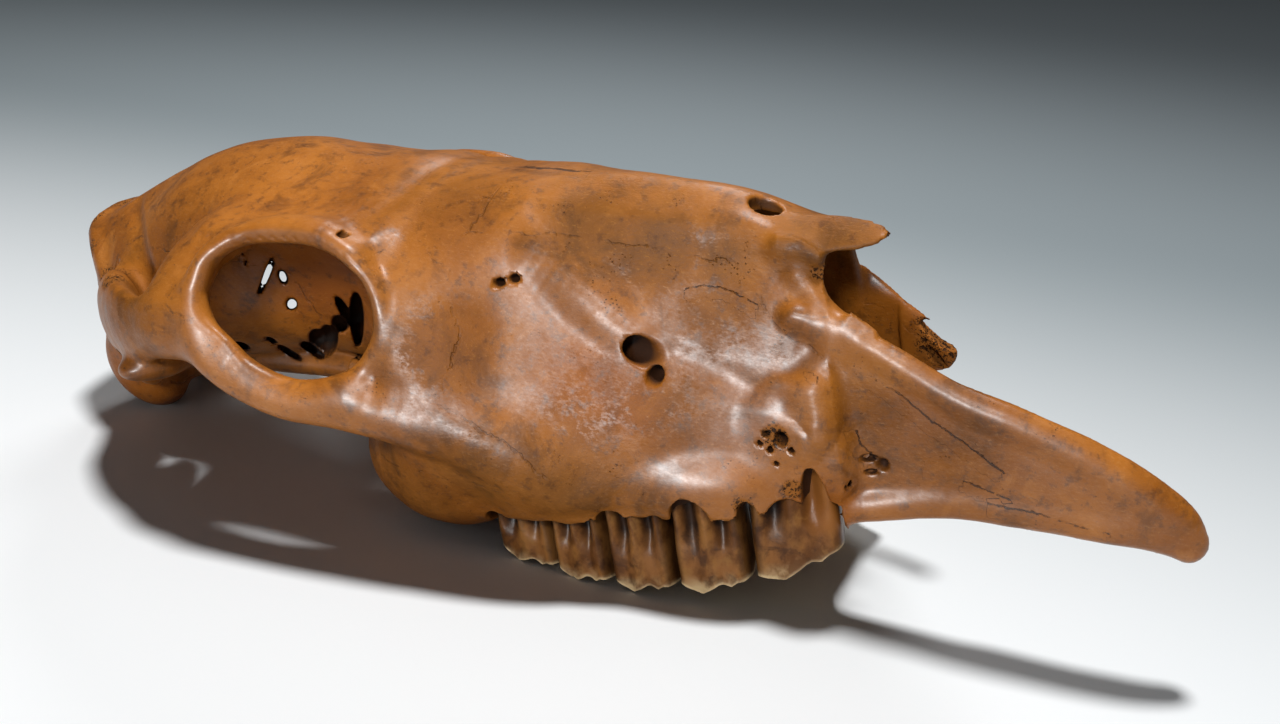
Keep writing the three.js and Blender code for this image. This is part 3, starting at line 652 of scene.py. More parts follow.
# ---- where the surface looks different: places, radii and strengths in the skull's frame ----
SPONGY = [
    ((2, 0, 160), 9), ((4, -20, 158), 8), ((14, -33, 147), 7), ((25, -43, 128), 6), ((33, -50, 106), 7),
    ((32, -47, 138), 8), ((60, -66, 96), 9), ((75, -84, 112), 7), ((440, 24, 84), 13),
    ((446, 24, 76), 9), ((405, -20, 130), 4), ((316, -60, 34), 4), ((349, -58, 44), 4),
    ((372, -52, 40), 5), ((392, -44, 44), 5), ((402, -38, 54), 5), ((388, -45, 68), 6),
    ((283, -62, 33), 3), ((541, -16, 14), 5), ((78, -80, 150), 8), ((64, -62, 150), 7),
]
# Dark spots: real stains, and painted shade in the hollow along the nose, on the tip of the nasal bones and
# on the facial tuber.
STAINS_AND_SHADE = [
    ((246, -34, 170), 34, 0.75), ((300, -10, 168), 28, 0.55), ((228, -62, 46), 30, 0.9),
    ((402, -13, 141), 20, 1.0), ((418, -14, 143), 16, 1.0), ((312, -30, 154), 24, 1.0),
    ((340, -29, 145), 24, 1.0), ((368, -28, 136), 22, 0.8), ((290, -40, 150), 12, 0.5),
    ((332, -20, 158), 34, 0.7), ((352, -26, 150), 26, 0.6), ((366, -34, 120), 26, 0.7),
    ((262, -80, 118), 30, 0.6), ((110, -95, 140), 26, 0.6), ((90, -70, 160), 24, 0.5),
    ((300, -76, 52), 30, 0.9), ((262, -80, 62), 28, 0.9), ((332, -60, 38), 18, 0.5),
    ((420, -30, 74), 26, 0.6), ((455, -30, 60), 24, 0.45), ((60, -55, 150), 20, 0.5),
    ((210, -85, 140), 12, 0.4), ((350, -52, 84), 24, 0.5), ((390, -34, 100), 20, 0.35),
    ((240, -40, 172), 24, 0.3),
]
WARMTH = [
    ((250, -40, 165), 24, 0.5), ((170, -50, 130), 34, 1.0), ((235, -58, 40), 32, 0.3),
    ((402, -38, 36), 13, 0.9), ((16, -25, 80), 30, 0.7), ((60, -60, 130), 22, 0.5),
    ((436, 10, 92), 26, 0.7), ((314, -66, 96), 24, 0.6), ((262, -76, 118), 18, 0.5),
    ((330, -62, 84), 20, 0.5),
]
# Fine cracks, each through these places.
CRACKS = [
    [
        (351, -35, 127), (354, -34, 128), (360, -32, 128.5), (365, -31, 127.6), (372, -31, 125),
        (381, -31, 120),
    ],
    [(405, -34, 91), (403, -35, 83), (403, -36, 74), (401, -37, 67), (399, -39, 59), (397, -40, 51)],
    [(419, -32, 96), (427, -31, 89), (436, -31, 83), (448, -31, 72), (459, -31, 64), (474, -32, 52)],
    [(460, -32, 46), (468, -32, 43), (477, -31, 39)],
    [(418, -33, 67), (419, -32, 60), (422, -29, 54)],
    [(262, 4, 172), (275, 1, 172), (288, -1, 171), (298, -2, 170)],
    [(470, -31, 36), (486, -30, 33), (503, -28, 27), (512, -27, 25)],
]
# The cracks' lines are laid on the surface from the same place.
CRACK_AIM = SLIT_AIM.astype(np.float32)


def crack_distance(points, furthest=6.0):
    """Signed distance from the nearest fine crack, so that its line stays sharp between points."""
    nearest = np.full(len(points), furthest, np.float32)
    for path in CRACKS:
        for a, b in zip(np.array(path[:-1], np.float32), np.array(path[1:], np.float32)):
            run = b - a
            length = np.linalg.norm(run)
            away = points - a
            t = away @ run / length**2
            off = away - np.clip(t, 0, 1)[:, None] * run
            side = np.cross(run / length, a - CRACK_AIM)
            signed = off @ (side / np.linalg.norm(side))
            ok = (np.linalg.norm(off, axis=1) < furthest) & (t > -0.15) & (t < 1.15)
            ok &= np.abs(signed) < np.abs(nearest)
            nearest[ok] = signed[ok]
    return nearest


def spread(points, places):
    """How strongly each point falls inside any of the soft spots."""
    total = np.zeros(len(points), np.float32)
    for place, radius, *strength in places:
        centre = np.array(place, np.float32)
        low = ((points - centre) ** 2).sum(1)
        if centre[1] < 0:
            low = np.minimum(low, ((points * (1, -1, 1) - centre) ** 2).sum(1))
        total = np.maximum(total, np.exp(-low / radius**2) * (strength[0] if strength else 1.0))
    return total


def suture_distance(points, quads, label, rings=5, furthest=9.0):
    """How far each point lies from the nearest border between two bones, along the surface."""
    low, high = np.full(len(points), 99), np.full(len(points), -1)
    for k in range(4):
        np.minimum.at(low, quads[:, k], label)
        np.maximum.at(high, quads[:, k], label)
    distance = np.where(low != high, 0.0, furthest)
    edges = np.concatenate([quads[:, [k, (k + 1) % 4]] for k in range(4)])
    length = np.linalg.norm(points[edges[:, 0]] - points[edges[:, 1]], axis=1)
    for _ in range(rings):
        reached = distance.copy()
        np.minimum.at(reached, edges[:, 0], distance[edges[:, 1]] + length)
        distance = reached
    return distance


def neighbours(quads):
    """Pairs of quads that share an edge."""
    edges = np.sort(np.concatenate([quads[:, [k, (k + 1) % 4]] for k in range(4)]).astype(np.int64), axis=1)
    key = edges[:, 0] * (quads.max() + 1) + edges[:, 1]
    order = np.argsort(key, kind="stable")
    same = key[order][1:] == key[order][:-1]
    owner = order % len(quads)
    return owner[1:][same], owner[:-1][same]


def patches(a, b, count):
    """For each of the items, the lowest-numbered item that pairs (a, b) join it to."""
    root = np.arange(count)
    while True:
        one, other = root[a], root[b]
        apart = one != other
        if not apart.any():
            return root
        np.minimum.at(root, np.maximum(one, other)[apart], np.minimum(one, other)[apart])
        while (root[root] != root).any():
            root = root[root]


def merge_scraps(quads, label, fewest=80):
    """Gives each scrap of a bone, cut off by the suture's waves, to the bone around it."""
    a, b = neighbours(quads)
    for _ in range(2):
        same = label[a] == label[b]
        root = patches(a[same], b[same], len(quads))
        scrap = np.bincount(root, minlength=len(quads))[root] < fewest
        host = np.full(len(quads), -1)
        for inner, outer in ((a, b), (b, a)):
            touch = scrap[inner] & ~scrap[outer]
            host[root[inner[touch]]] = label[outer[touch]]
        label = np.where(scrap & (host[root] >= 0), host[root], label)
    return label


def build_bones(step):
    """The one surface: points, their slopes, quads, each quad's bone and the facts at each point."""
    field = Carving()
    points, quads = surface(narrow_band(field, step), step)
    points = points.astype(np.float32)
    # Crumbs that the broken edges leave in the air and closed bubbles inside the bone are dropped.
    root = patches(*neighbours(quads), len(quads))
    quads = quads[root == np.bincount(root).argmax()]
    slope = field_slope(field, points)
    label = merge_scraps(quads, bone_of(points[quads].mean(1)))

    def open_to(reach):
        probe = points + slope * reach
        return np.concatenate([field(part) for part in np.array_split(probe, 16)]) / reach

    unopened = np.concatenate([field(part, True) for part in np.array_split(points, 16)])
    # crevice, hollow and depth say how shut in each point is; the bone's colour takes painted shade from
    # them
    facts = {
        "crevice": np.clip(1 - open_to(3.0), 0, 1),
        "hollow": np.clip(1 - open_to(12.0), 0, 1),
        "suture": suture_distance(points, quads, label) / 9,
        "spongy": spread(points, SPONGY),
        "stain_and_shade": spread(points, STAINS_AND_SHADE),
        "warm": spread(points, WARMTH),
        "crack": crack_distance(points),
        "depth": np.clip(-unopened / 4 - 0.2, 0, 1),
    }
    return points, slope, quads, label, facts


class Skull:
    """Keeps the one surface while the operators take their bones from it."""

    made = None

    @classmethod
    def bone(cls, number, step, wall):
        if cls.made is None:
            cls.made = build_bones(step)
        points, slope, quads, label, facts = cls.made
        corners, faces, source = shell(points, slope, quads[label == number], wall)
        rest = resting(corners)
        rest[:, 2] = np.maximum(rest[:, 2], FLOOR_GAP)
        kept = {key: value[source] for key, value in facts.items()}
        piece = mesh_from(BONES[number][0] + "_bone", rest, faces, kept)
        outward = slope[source] * np.repeat([1.0, -1.0], len(source) // 2)[:, None]
        turned = resting(outward) - resting(np.zeros((1, 3)))
        turned /= np.linalg.norm(turned, axis=1, keepdims=True)
        piece.data.normals_split_custom_set_from_vertices(turned.tolist())
        return piece


# ---- node trees ----
class Signal:
    """A value flowing through a node tree, written in sums like a number."""

    def __init__(self, recipe, socket):
        self.recipe, self.socket = recipe, socket

    def maths(self, operation, *others):
        return self.recipe.node("Math", {"operation": operation}, dict(enumerate([self, *others])))

    def __add__(self, other):
        return self.maths("ADD", other)

    def __sub__(self, other):
        return self.maths("SUBTRACT", other)

    def __mul__(self, other):
        return self.maths("MULTIPLY", other)

    def __rsub__(self, other):
        return self.maths("MULTIPLY", -1.0).maths("ADD", other)

    __radd__, __rmul__ = __add__, __mul__

    def least(self, other):
        return self.maths("MINIMUM", other)

    def most(self, other):
        return self.maths("MAXIMUM", other)

    def below(self, other):
        return self.maths("LESS_THAN", other)

    def between(self, low, high):
        """0 below low, 1 above high, smooth between; the other way round if low is the larger."""
        sockets = {"Value": self, "From Min": low, "From Max": high}
        return self.recipe.node("MapRange", {"interpolation_type": "SMOOTHSTEP"}, sockets)


class Recipe:
    """A node tree under construction."""

    def __init__(self, tree):
        self.tree = tree
        tree.nodes.clear()

    def node(self, kind, settings=None, sockets=None, out=0):
        made = self.tree.nodes.new(kind if kind[:4] in ("Geom", "Node") else "ShaderNode" + kind)
        for key, value in (settings or {}).items():
            setattr(made, key, value)
        for key, value in (sockets or {}).items():
            if isinstance(value, Signal):
                self.tree.links.new(value.socket, made.inputs[key])
            else:
                made.inputs[key].default_value = value
        return Signal(self, made.outputs[out]) if made.outputs else None

    def fact(self, name):
        """A point attribute of the mesh."""
        return self.node("Attribute", {"attribute_name": name}, out="Fac")

    def noise(self, where, scale, detail=3.0, roughness=0.55, distortion=0.0):
        sockets = {"Vector": where, "Scale": scale, "Detail": detail, "Roughness": roughness}
        return self.node("TexNoise", None, {**sockets, "Distortion": distortion})

    def cells(self, where, scale):
        return self.node("TexVoronoi", None, {"Vector": where, "Scale": scale})

    def stretched(self, where, scale, turn=(0, 0, 0)):
        return self.node("Mapping", None, {"Vector": where, "Scale": scale, "Rotation": turn})

    def blend(self, below, above, share):
        """One colour laid over another."""
        settings = {"data_type": "RGBA", "blend_type": "MIX", "clamp_factor": True}
        return self.node("Mix", settings, {0: share, 6: below, 7: above}, out=2)

    def relief(self, height, strength, distance):
        return self.node("Bump", None, {"Height": height, "Strength": strength, "Distance": distance})


def material(name):
    made = bpy.data.materials.new(name)
    made.use_nodes = True
    return made, Recipe(made.node_tree)


def rgb(text):
    """A colour from its usual hexadecimal form, in linear light."""
    parts = [int(text[k : k + 2], 16) / 255 for k in (0, 2, 4)]
    return (*[c / 12.92 if c <= 0.04045 else ((c + 0.055) / 1.055) ** 2.4 for c in parts], 1.0)


def bone_material():
    made, r = material("old_bone")
    where = r.node("TexCoord", out="Object")
    long_way = r.stretched(where, (0.45, 1.0, 1.0), (0, 0.2, 0))
    broad = r.noise(where, 14.0, 4.0, 0.6, 0.4)
    cloud = r.noise(where, 45.0, 5.0, 0.65, 0.6)
    mottle = r.noise(where, 160.0, 4.0, 0.7)
    grain = r.noise(long_way, 900.0, 4.0, 0.75)
    fine = r.noise(where, 2200.0, 3.0, 0.7)
    pits = r.cells(where, 620.0)
    pit_share = r.noise(where, 60.0, 3.0, 0.6)
    crevice, hollow = r.fact("crevice"), r.fact("hollow")
    spongy, stain_and_shade, warm = r.fact("spongy"), r.fact("stain_and_shade"), r.fact("warm")
    suture, crack_at = r.fact("suture"), r.fact("crack")

    colour = r.blend(rgb("82490F"), rgb("9E5F1D"), broad.between(0.34, 0.66))
    colour = r.blend(colour, rgb("5A320C"), cloud.between(0.48, 0.7) * 0.75)
    colour = r.blend(colour, rgb("AA6B2B"), cloud.between(0.46, 0.3) * 0.5)
    colour = r.blend(colour, rgb("8E4A0C"), (warm * (0.55 + mottle * 0.6)).least(0.9))
    # Stains, with painted shade at some of the spots.
    stain_and_shade_share = (stain_and_shade * (0.3 + cloud * 0.8)).least(0.8)
    colour = r.blend(colour, rgb("573612"), stain_and_shade_share)
    colour = r.blend(colour, rgb("4A280A"), mottle.between(0.52, 0.7) * 0.6)
    colour = r.blend(colour, rgb("B67C38"), grain.between(0.54, 0.72) * 0.25)
    # Painted shade: the colour darkens in hollows and crevices and inside the openings, with some dirt in
    # them too.
    painted_shade_and_dirt = hollow.between(0.45, 1.0) * 0.35 + crevice.between(0.35, 0.95) * 0.6 + r.fact("depth")
    painted_shade_and_dirt = painted_shade_and_dirt.least(0.95)
    colour = r.blend(colour, rgb("2C1608"), painted_shade_and_dirt)
    pit = pits.between(0.3, 0.12) * pit_share.between(0.56, 0.72)
    colour = r.blend(colour, rgb("241206"), pit * 0.5)
    line = suture + (mottle - 0.5) * 0.08
    seam = line.between(0.06, 0.0) * cloud.between(0.46, 0.62)
    colour = r.blend(colour, rgb("3B2212"), seam * 0.3)
    crack = (crack_at + (grain - 0.5) * 1.6 + (mottle - 0.5) * 2.4).maths("ABSOLUTE").between(0.4, 0.1)
    crack = crack * (mottle + (cloud - 0.5)).between(0.34, 0.56)
    colour = r.blend(colour, rgb("1E0F06"), crack * 0.7)
    bent = where_bent(r, where)
    broken = spongy + (mottle - 0.5) * 0.9
    hole = r.cells(bent, 380.0).between(0.4, 0.24) * broken.between(0.5, 0.72)
    hole = hole.most(r.cells(bent, 900.0).between(0.42, 0.22) * broken.between(0.3, 0.55) * 0.8)
    porous = (spongy + (cloud - 0.5) * 0.4).between(0.3, 0.6)
    colour = r.blend(colour, rgb("86521F"), porous * 0.5)
    colour = r.blend(colour, rgb("1C0F07"), hole * 0.9)

    rough = 0.5 + (grain - 0.5) * 0.4 + porous * 0.25 + painted_shade_and_dirt * 0.25
    sheen = 0.7 + (grain - 0.5) + (mottle - 0.5) * 0.9 - stain_and_shade * 1.1 - warm - porous * 0.6 - painted_shade_and_dirt
    height = grain * 1.1 + fine * 0.3 + mottle * 0.35 + cloud * 0.3
    height = height - pit * 2.5 - seam * 2.0 - hole * 8.0 - crack * 6.0
    normal = r.relief(height, 1.0, 0.00022)
    shader = {
        "Base Color": colour, "Roughness": rough.most(0.35), "Normal": normal, "Specular IOR Level": 0.1,
        "Coat Weight": sheen.most(0.0).least(1.0), "Coat Roughness": 0.35, "Coat IOR": 1.45,
    }
    surface_end = r.node("BsdfPrincipled", None, shader)
    r.node("OutputMaterial", None, {"Surface": surface_end})
    return made


def where_bent(r, where):
    """Coordinates shaken by noise, so that a pattern of cells loses its evenness."""
    shake = r.node("TexNoise", None, {"Vector": where, "Scale": 500.0, "Detail": 2.0}, out="Color")
    sockets = {0: shake, 1: (0.0022, 0.0022, 0.0022), 2: where}
    return r.node("VectorMath", {"operation": "MULTIPLY_ADD"}, sockets)


def tooth_material():
    made, r = material("stained_tooth")
    where = r.node("TexCoord", out="Object")
    upright = r.stretched(where, (1.0, 1.0, 0.7))
    streak = r.noise(upright, 90.0, 4.0, 0.6)
    cloud = r.noise(where, 110.0, 4.0, 0.6, 0.5)
    fine = r.noise(where, 1500.0, 3.0, 0.7)
    edge, ridge, root = r.fact("edge"), r.fact("ridge"), r.fact("root")
    wear, trough = r.fact("wear"), r.fact("trough")
    colour = r.blend(rgb("5E3818"), rgb("85562B"), streak.between(0.36, 0.64))
    colour = r.blend(colour, rgb("3E2411"), cloud.between(0.5, 0.66) * 0.7)
    colour = r.blend(colour, rgb("8A6032"), cloud.between(0.42, 0.3) * 0.6)
    colour = r.blend(colour, rgb("94652F"), ridge * streak.between(0.4, 0.6) * 0.4)
    # Painted shade in the troughs between the ribs and in the gaps between the crowns.
    shade = trough * (0.7 + cloud * 0.5) + r.fact("gap") * 0.5
    colour = r.blend(colour, rgb("1A0C05"), shade.least(0.93))
    colour = r.blend(colour, rgb("8E5622"), root * 0.7)
    colour = r.blend(colour, rgb("BFA47A"), (edge * (streak.between(0.38, 0.6) * 0.9 + 0.1)).least(0.9))
    colour = r.blend(colour, rgb("C7AD84"), wear * 0.85)
    rough = 0.42 + (cloud - 0.5) * 0.3 + (streak - 0.5) * 0.2
    normal = r.relief(streak * 0.8 + fine * 0.15 + cloud * 1.0 + wear * 0.8, 0.9, 0.0004)
    shader = {
        "Base Color": colour, "Roughness": rough.most(0.35), "Normal": normal, "Specular IOR Level": 0.12,
    }
    r.node("OutputMaterial", None, {"Surface": r.node("BsdfPrincipled", None, shader)})
    return made


def floor_material():
    made, r = material("studio_floor")
    where = r.node("TexCoord", out="Object")
    speck = r.noise(where, 400.0, 3.0, 0.6)
    apart = r.node("SeparateXYZ", None, {"Vector": where})
    across = Signal(r, apart.socket.node.outputs["Y"])
    sideways = Signal(r, apart.socket.node.outputs["X"])
    # Painted falloff of the light: the floor is pale in front and grows grey, then dark, further back.
    away = across - sideways * 0.05
    colour = r.blend(rgb("F4F6F7"), rgb("858E92"), away.between(-0.25, 0.5) + (speck - 0.5) * 0.01)
    colour = r.blend(colour, rgb("3A3F42"), away.between(0.2, 1.3) * 0.9)
    shader = {"Base Color": colour, "Roughness": 0.62 + speck * 0.06, "Specular IOR Level": 0.25}
    r.node("OutputMaterial", None, {"Surface": r.node("BsdfPrincipled", None, shader)})
    return made


# ---- the cheek teeth ----
TOOTH_MEASURES = ("Length", "Width", "Top", "Along", "Rib Depth", "Cusp Drop", "Seed")
TOOTH_INPUTS = [(name, "NodeSocketFloat") for name in TOOTH_MEASURES] + [("Finish", "NodeSocketMaterial")]


def tooth_tree():
    """One ribbed crown: cheek side towards y, its chewing edge on the row's curve."""
    tree = bpy.data.node_groups.new("cheek_tooth", "GeometryNodeTree")
    tree.interface.new_socket("Geometry", in_out="OUTPUT", socket_type="NodeSocketGeometry")
    for name, kind in TOOTH_INPUTS:
        tree.interface.new_socket(name, in_out="INPUT", socket_type=kind)
    r = Recipe(tree)
    given = tree.nodes.new("NodeGroupInput")
    size = {name: Signal(r, given.outputs[name]) for name, _ in TOOTH_INPUTS}
    grid = {"Size": (2, 2, 2), "Vertices X": 33, "Vertices Y": 21, "Vertices Z": 31}
    block = r.node("GeometryNodeMeshCube", None, grid)
    place = r.node("GeometryNodeInputPosition")
    apart = r.node("SeparateXYZ", None, {"Vector": place}).socket.node
    u, v, w = (Signal(r, apart.outputs[k]) for k in "XYZ")
    cheek = v.between(-0.2, 1.0)
    tongue = v.between(0.2, -1.0)
    # Three upright ribs on the cheek side, at the ends and in the middle, with troughs between.
    trough = 0.5 - (u * (2 * math.pi)).maths("COSINE") * 0.5
    round_off = 1 - (u * u).maths("POWER", 3.0) * 0.12
    upper = w.between(-0.35, 0.35)
    rib = cheek * trough * size["Rib Depth"] * (0.4 + upper * 1.5)
    bulge = (1 - (u - 0.15) * (u - 0.15) * 1.6).most(0.0) * tongue * 1.5
    y = v * round_off * size["Width"] * 0.5 - rib - bulge
    x = u * (1 - (v * v).maths("POWER", 3.0) * 0.1) * size["Length"] * (0.5 - upper * cheek * 0.035)
    along = size["Along"] + x
    gone = along - LOWEST_AT
    steep = gone.below(0.0) * (BEND_BEHIND - BEND_IN_FRONT) + BEND_IN_FRONT
    cusp = ((u + 0.4).maths("ABSOLUTE") * 1.7).least((u - 0.55).maths("ABSOLUTE") * 2.0 + 0.55).least(1.0)
    low = gone * gone * steep + LOWEST + cusp * size["Cusp Drop"] * (0.35 + cheek * 0.65) + tongue * 4.0
    pit = ((u.maths("ABSOLUTE") - 0.45).maths("ABSOLUTE") * 5.0).least(1.0)
    low = low + (1 - pit) * (1 - (v * v * 6.0).least(1.0)) * 1.2
    height = w * 0.5 + 0.5
    z = low + height * (size["Top"] - low)
    seeded = r.node("CombineXYZ", None, {"X": x, "Y": y, "Z": z * 0.35 + size["Seed"] * 37.0})
    rough = (r.noise(seeded, 0.2, 3.0, 0.6) - 0.5) * 1.8
    y = y + rough * cheek
    spot = r.node("CombineXYZ", None, {"X": x, "Y": y, "Z": z + rough * 0.5})
    worn_edge = height.between(0.045, 0.01) + (1 - cusp) * height.between(0.17, 0.05)
    worn_spots = ((u * 9.0).maths("SINE") * (v * 6.0).maths("SINE")).between(0.1, 0.5)
    # trough and gap mark where the tooth's colour takes painted shade.
    facts = {
        "edge": worn_edge * cheek.between(0.3, 0.8),
        "trough": cheek * trough.between(0.25, 0.85) * upper,
        "gap": u.maths("ABSOLUTE").between(0.84, 0.99),
        "ridge": cheek * (1 - trough).between(0.45, 0.9),
        "root": z.between(14.0, 26.0) * along.between(388.0, 396.0),
        "wear": w.below(-0.999) * (0.5 + worn_spots * 0.5),
    }
    marked = block
    settings = {"data_type": "FLOAT", "domain": "POINT"}
    for name, value in facts.items():
        sockets = {"Geometry": marked, "Name": name, "Value": value}
        marked = r.node("GeometryNodeStoreNamedAttribute", settings, sockets)
    shaped = r.node("GeometryNodeSetPosition", None, {"Geometry": marked, "Position": spot})
    whole = r.node("GeometryNodeRealizeInstances", None, {"Geometry": shaped})
    done = r.node("GeometryNodeSetMaterial", None, {"Geometry": whole, "Material": size["Finish"]})
    tree.links.new(done.socket, tree.nodes.new("NodeGroupOutput").inputs[0])
    return tree


def grown(tree, values):
    """A plain mesh from a Geometry Nodes tree with the given inputs."""
    holder = bpy.data.objects.new("holder", bpy.data.meshes.new("holder"))
    bpy.context.collection.objects.link(holder)
    steps = holder.modifiers.new("shape", "NODES")
    steps.node_group = tree
    named = {item.name: item.identifier for item in tree.interface.items_tree if item.in_out == "INPUT"}
    for name, value in values.items():
        steps[named[name]] = value
    holder.update_tag()
    bpy.context.view_layer.update()
    ready = holder.evaluated_get(bpy.context.evaluated_depsgraph_get())
    mesh = bpy.data.meshes.new_from_object(ready)
    holder.modifiers.remove(steps)
    bpy.data.objects.remove(holder)
    return mesh


def read_points(mesh):
    flat = np.empty(len(mesh.vertices) * 3, np.float32)
    mesh.vertices.foreach_get("co", flat)
    return flat.reshape(-1, 3)


def place_crown(mesh, row, side):
    """Moves a crown from its own middle to its place in the row, on one side, in the resting frame."""
    _, back, front, cheek_back, cheek_front = row
    spots = read_points(mesh)
    lean = math.atan2(cheek_front - cheek_back, front - back)
    x, y, z = spots.T
    middle = ((back + front) / 2, (cheek_back + cheek_front) / 2 - HALF_CROWN)
    ahead = middle[0] + x * math.cos(lean) - y * math.sin(lean)
    across = middle[1] + x * math.sin(lean) + y * math.cos(lean)
    turned = np.stack([ahead, side * across, z], 1)
    rest = resting(turned)
    rest[:, 2] = np.maximum(rest[:, 2], FLOOR_GAP)
    mesh.vertices.foreach_set("co", rest.astype(np.float32).ravel())
    if side < 0:
        mesh.flip_normals()
    mesh.update()
    mesh.shade_smooth()
    mesh.set_sharp_from_angle(angle=math.radians(52))


# ---- the studio ----
EYE = Vector((0.2615, -0.4848, 0.3464))
EYE_RIGHT = Vector((0.9013, 0.4328, 0.0198))
EYE_UP = Vector((-0.2082, 0.3926, 0.8958))
EYE_AHEAD = Vector((-0.3799, 0.8115, -0.444))


def area_light(name, place, target, size, power, spared=None):
    """A round softbox aimed at the target; it doesn't light the spared object."""
    lamp = bpy.data.lights.new(name, "AREA")
    lamp.shape, lamp.size, lamp.energy = "DISK", size, power
    holder = bpy.data.objects.new(name, lamp)
    holder.location = place
    holder.rotation_euler = (Vector(target) - Vector(place)).to_track_quat("-Z", "Y").to_euler()
    bpy.context.collection.objects.link(holder)
    if spared:
        lit = bpy.data.collections.new(name + "_lights")
        holder.light_linking.receiver_collection = lit
        lit.objects.link(spared)
        lit.collection_objects[0].light_linking.link_state = "EXCLUDE"
    return holder


def camera():
    lens = bpy.data.cameras.new("camera")
    lens.lens, lens.sensor_width, lens.clip_start, lens.clip_end = 36.56, 36.0, 0.01, 20.0
    holder = bpy.data.objects.new("camera", lens)
    turn = Matrix((EYE_RIGHT, EYE_UP, -EYE_AHEAD)).transposed().to_4x4()
    holder.matrix_world = Matrix.Translation(EYE) @ turn
    bpy.context.collection.objects.link(holder)
    bpy.context.scene.camera = holder


# ---- the add-on ----
class BoneSizes(bpy.types.PropertyGroup):
    """Sizes of the bones."""

    step: bpy.props.FloatProperty(
        name="Surface step", description="Size of the squares of the bone surface, in millimetres",
        default=STEP, min=1.0, max=6.0,
    )
    wall: bpy.props.FloatProperty(
        name="Wall", description="Thickness of each bone's closed wall, in millimetres",
        default=0.6, min=0.3, max=3.0,
    )


class ToothSizes(bpy.types.PropertyGroup):
    """Sizes of the cheek teeth."""

    width: bpy.props.FloatProperty(
        name="Width", description="Crown width from cheek side to tongue side, in millimetres",
        default=2 * HALF_CROWN, min=15.0, max=32.0,
    )
    rib_depth: bpy.props.FloatProperty(
        name="Rib depth", description="Depth of the troughs between a crown's ribs, in millimetres",
        default=3.2, min=0.0, max=6.0,
    )
    gap: bpy.props.FloatProperty(
        name="Gap", description="Space between one crown and the next, in millimetres",
        default=0.8, min=0.2, max=3.0,
    )


def watts(name, which, default):
    """A softbox's power."""
    note = f"Power of the softbox {which}, in watts"
    return bpy.props.FloatProperty(name=name, description=note, default=default, min=0.0, max=200.0)


class StudioSettings(bpy.types.PropertyGroup):
    """The floor and the lights."""

    floor_size: bpy.props.FloatProperty(
        name="Floor", description="Length of the floor's side",
        default=9.0, min=2.0, max=30.0, unit="LENGTH",
    )
    key_power: watts("Main light", "overhead", 50.0)
    front_power: watts("Front light", "in front", 18.0)
    gloss_power: watts("Sheen", "that gives the bone its sheen", 42.0)
    back_power: watts("Back light", "behind", 5.0)


def finish_bones(first, end):
    sizes = bpy.context.scene.skull_bones
    finish = bpy.data.materials.get("old_bone") or bone_material()
    for number in range(first, end):
        piece = Skull.bone(number, sizes.step, sizes.wall)
        piece.data.materials.append(finish)
        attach(piece, "root")
        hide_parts(BONES[number][0])


class SKULL_OT_braincase(bpy.types.Operator):
    """Makes the occipital, sphenoid, palatine, temporal, zygomatic, lacrimal and parietal bones"""

    bl_idname = "skull.braincase"
    bl_label = "Braincase and cheek bones"

    def execute(self, context):
        finish_bones(0, FACE_FIRST)
        return {"FINISHED"}


class SKULL_OT_face(bpy.types.Operator):
    """Makes the frontal, nasal, premaxilla and maxilla bones"""

    bl_idname = "skull.face"
    bl_label = "Face bones"

    def execute(self, context):
        finish_bones(FACE_FIRST, len(BONES))
        return {"FINISHED"}


class SKULL_OT_teeth(bpy.types.Operator):
    """Makes five ribbed cheek teeth on each side"""

    bl_idname = "skull.teeth"
    bl_label = "Cheek teeth"

    def execute(self, context):
        sizes = context.scene.skull_teeth
        finish = bpy.data.materials.get("stained_tooth") or tooth_material()
        tree = tooth_tree()
        for side, word in ((-1, "right"), (1, "left")):
            for number, row in enumerate(CROWNS):
                name, back, front = row[:3]
                values = {
                    "Length": front - back - sizes.gap, "Width": sizes.width, "Top": CROWN_TOPS[name],
                    "Along": (front + back) / 2, "Rib Depth": sizes.rib_depth, "Cusp Drop": CUSP_DROP,
                    "Seed": number + 0.5 * side, "Finish": finish,
                }
                mesh = grown(tree, values)
                place_crown(mesh, row, side)
                piece = bpy.data.objects.new(f"{name}_{word}_tooth", mesh)
                bpy.context.collection.objects.link(piece)
                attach(piece, "root")
                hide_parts("maxilla_" + word)
        return {"FINISHED"}


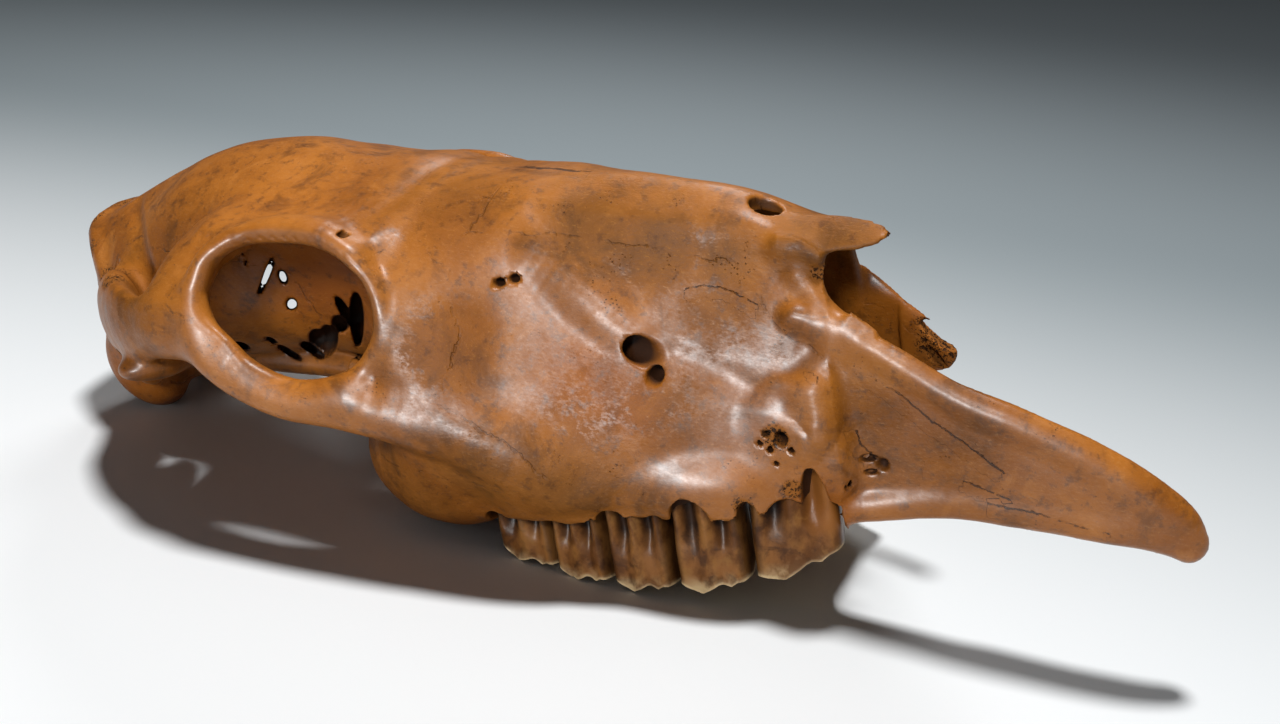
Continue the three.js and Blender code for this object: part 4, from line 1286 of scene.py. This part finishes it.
class SKULL_OT_studio(bpy.types.Operator):
    """Makes the pale floor, the soft lights and the camera"""

    bl_idname = "skull.studio"
    bl_label = "Studio"

    def execute(self, context):
        settings = context.scene.skull_studio
        half = settings.floor_size / 2
        mesh = bpy.data.meshes.new("studio_floor")
        corners = [(-half, -half, 0), (half, -half, 0), (half, half, 0), (-half, half, 0)]
        mesh.from_pydata(corners, [], [(0, 1, 2, 3)])
        mesh.materials.append(floor_material())
        floor = bpy.data.objects.new("studio_floor", mesh)
        bpy.context.collection.objects.link(floor)
        low, middle, high = (0.05, 0.0, 0.05), (0.05, 0.0, 0.08), (-0.03, 0.0, 0.1)
        area_light("softbox_overhead", (0.08, 0.2, 2.2), low, 0.3, settings.key_power)
        area_light("softbox_front", (0.22, -1.2, 1.12), low, 0.3, settings.front_power, floor)
        sheen = area_light("softbox_gloss", (0.06, -1.5, 0.42), middle, 0.26, settings.gloss_power, floor)
        sheen.visible_diffuse = False
        area_light("softbox_back", (-0.35, 0.95, 0.95), high, 0.5, settings.back_power)
        sky = bpy.data.worlds.new("studio_air")
        sky.use_nodes = True
        sky.node_tree.nodes["Background"].inputs["Color"].default_value = (0.95, 0.97, 1.0, 1)
        sky.node_tree.nodes["Background"].inputs["Strength"].default_value = 0.06
        context.scene.world = sky
        context.scene.view_settings.view_transform = "Standard"
        camera()
        return {"FINISHED"}


class SKULL_PT_panel(bpy.types.Panel):
    """Lists the skull's pieces and their sizes."""

    bl_idname = "SKULL_PT_panel"
    bl_label = "Horse skull"
    bl_space_type = "VIEW_3D"
    bl_region_type = "UI"
    bl_category = "Skull"

    def draw(self, context):
        layout = self.layout
        for group in ("skull_bones", "skull_teeth", "skull_studio"):
            settings = getattr(context.scene, group)
            for name in settings.__annotations__:
                layout.prop(settings, name)
        for step in OPERATORS:
            layout.operator(step.bl_idname)


OPERATORS = (SKULL_OT_studio, SKULL_OT_teeth, SKULL_OT_braincase, SKULL_OT_face)
GROUPS = {"skull_bones": BoneSizes, "skull_teeth": ToothSizes, "skull_studio": StudioSettings}


def register():
    for made in (*GROUPS.values(), *OPERATORS, SKULL_PT_panel):
        bpy.utils.register_class(made)
    for name, group in GROUPS.items():
        setattr(bpy.types.Scene, name, bpy.props.PointerProperty(type=group))


def unregister():
    for name in GROUPS:
        delattr(bpy.types.Scene, name)
    for made in (SKULL_PT_panel, *OPERATORS, *GROUPS.values()):
        bpy.utils.unregister_class(made)


def main():
    register()
    for step in ("studio", "teeth", "braincase", "face"):
        getattr(bpy.ops.skull, step)()
    bpy.context.view_layer.update()


if __name__ == "__main__":
    main()
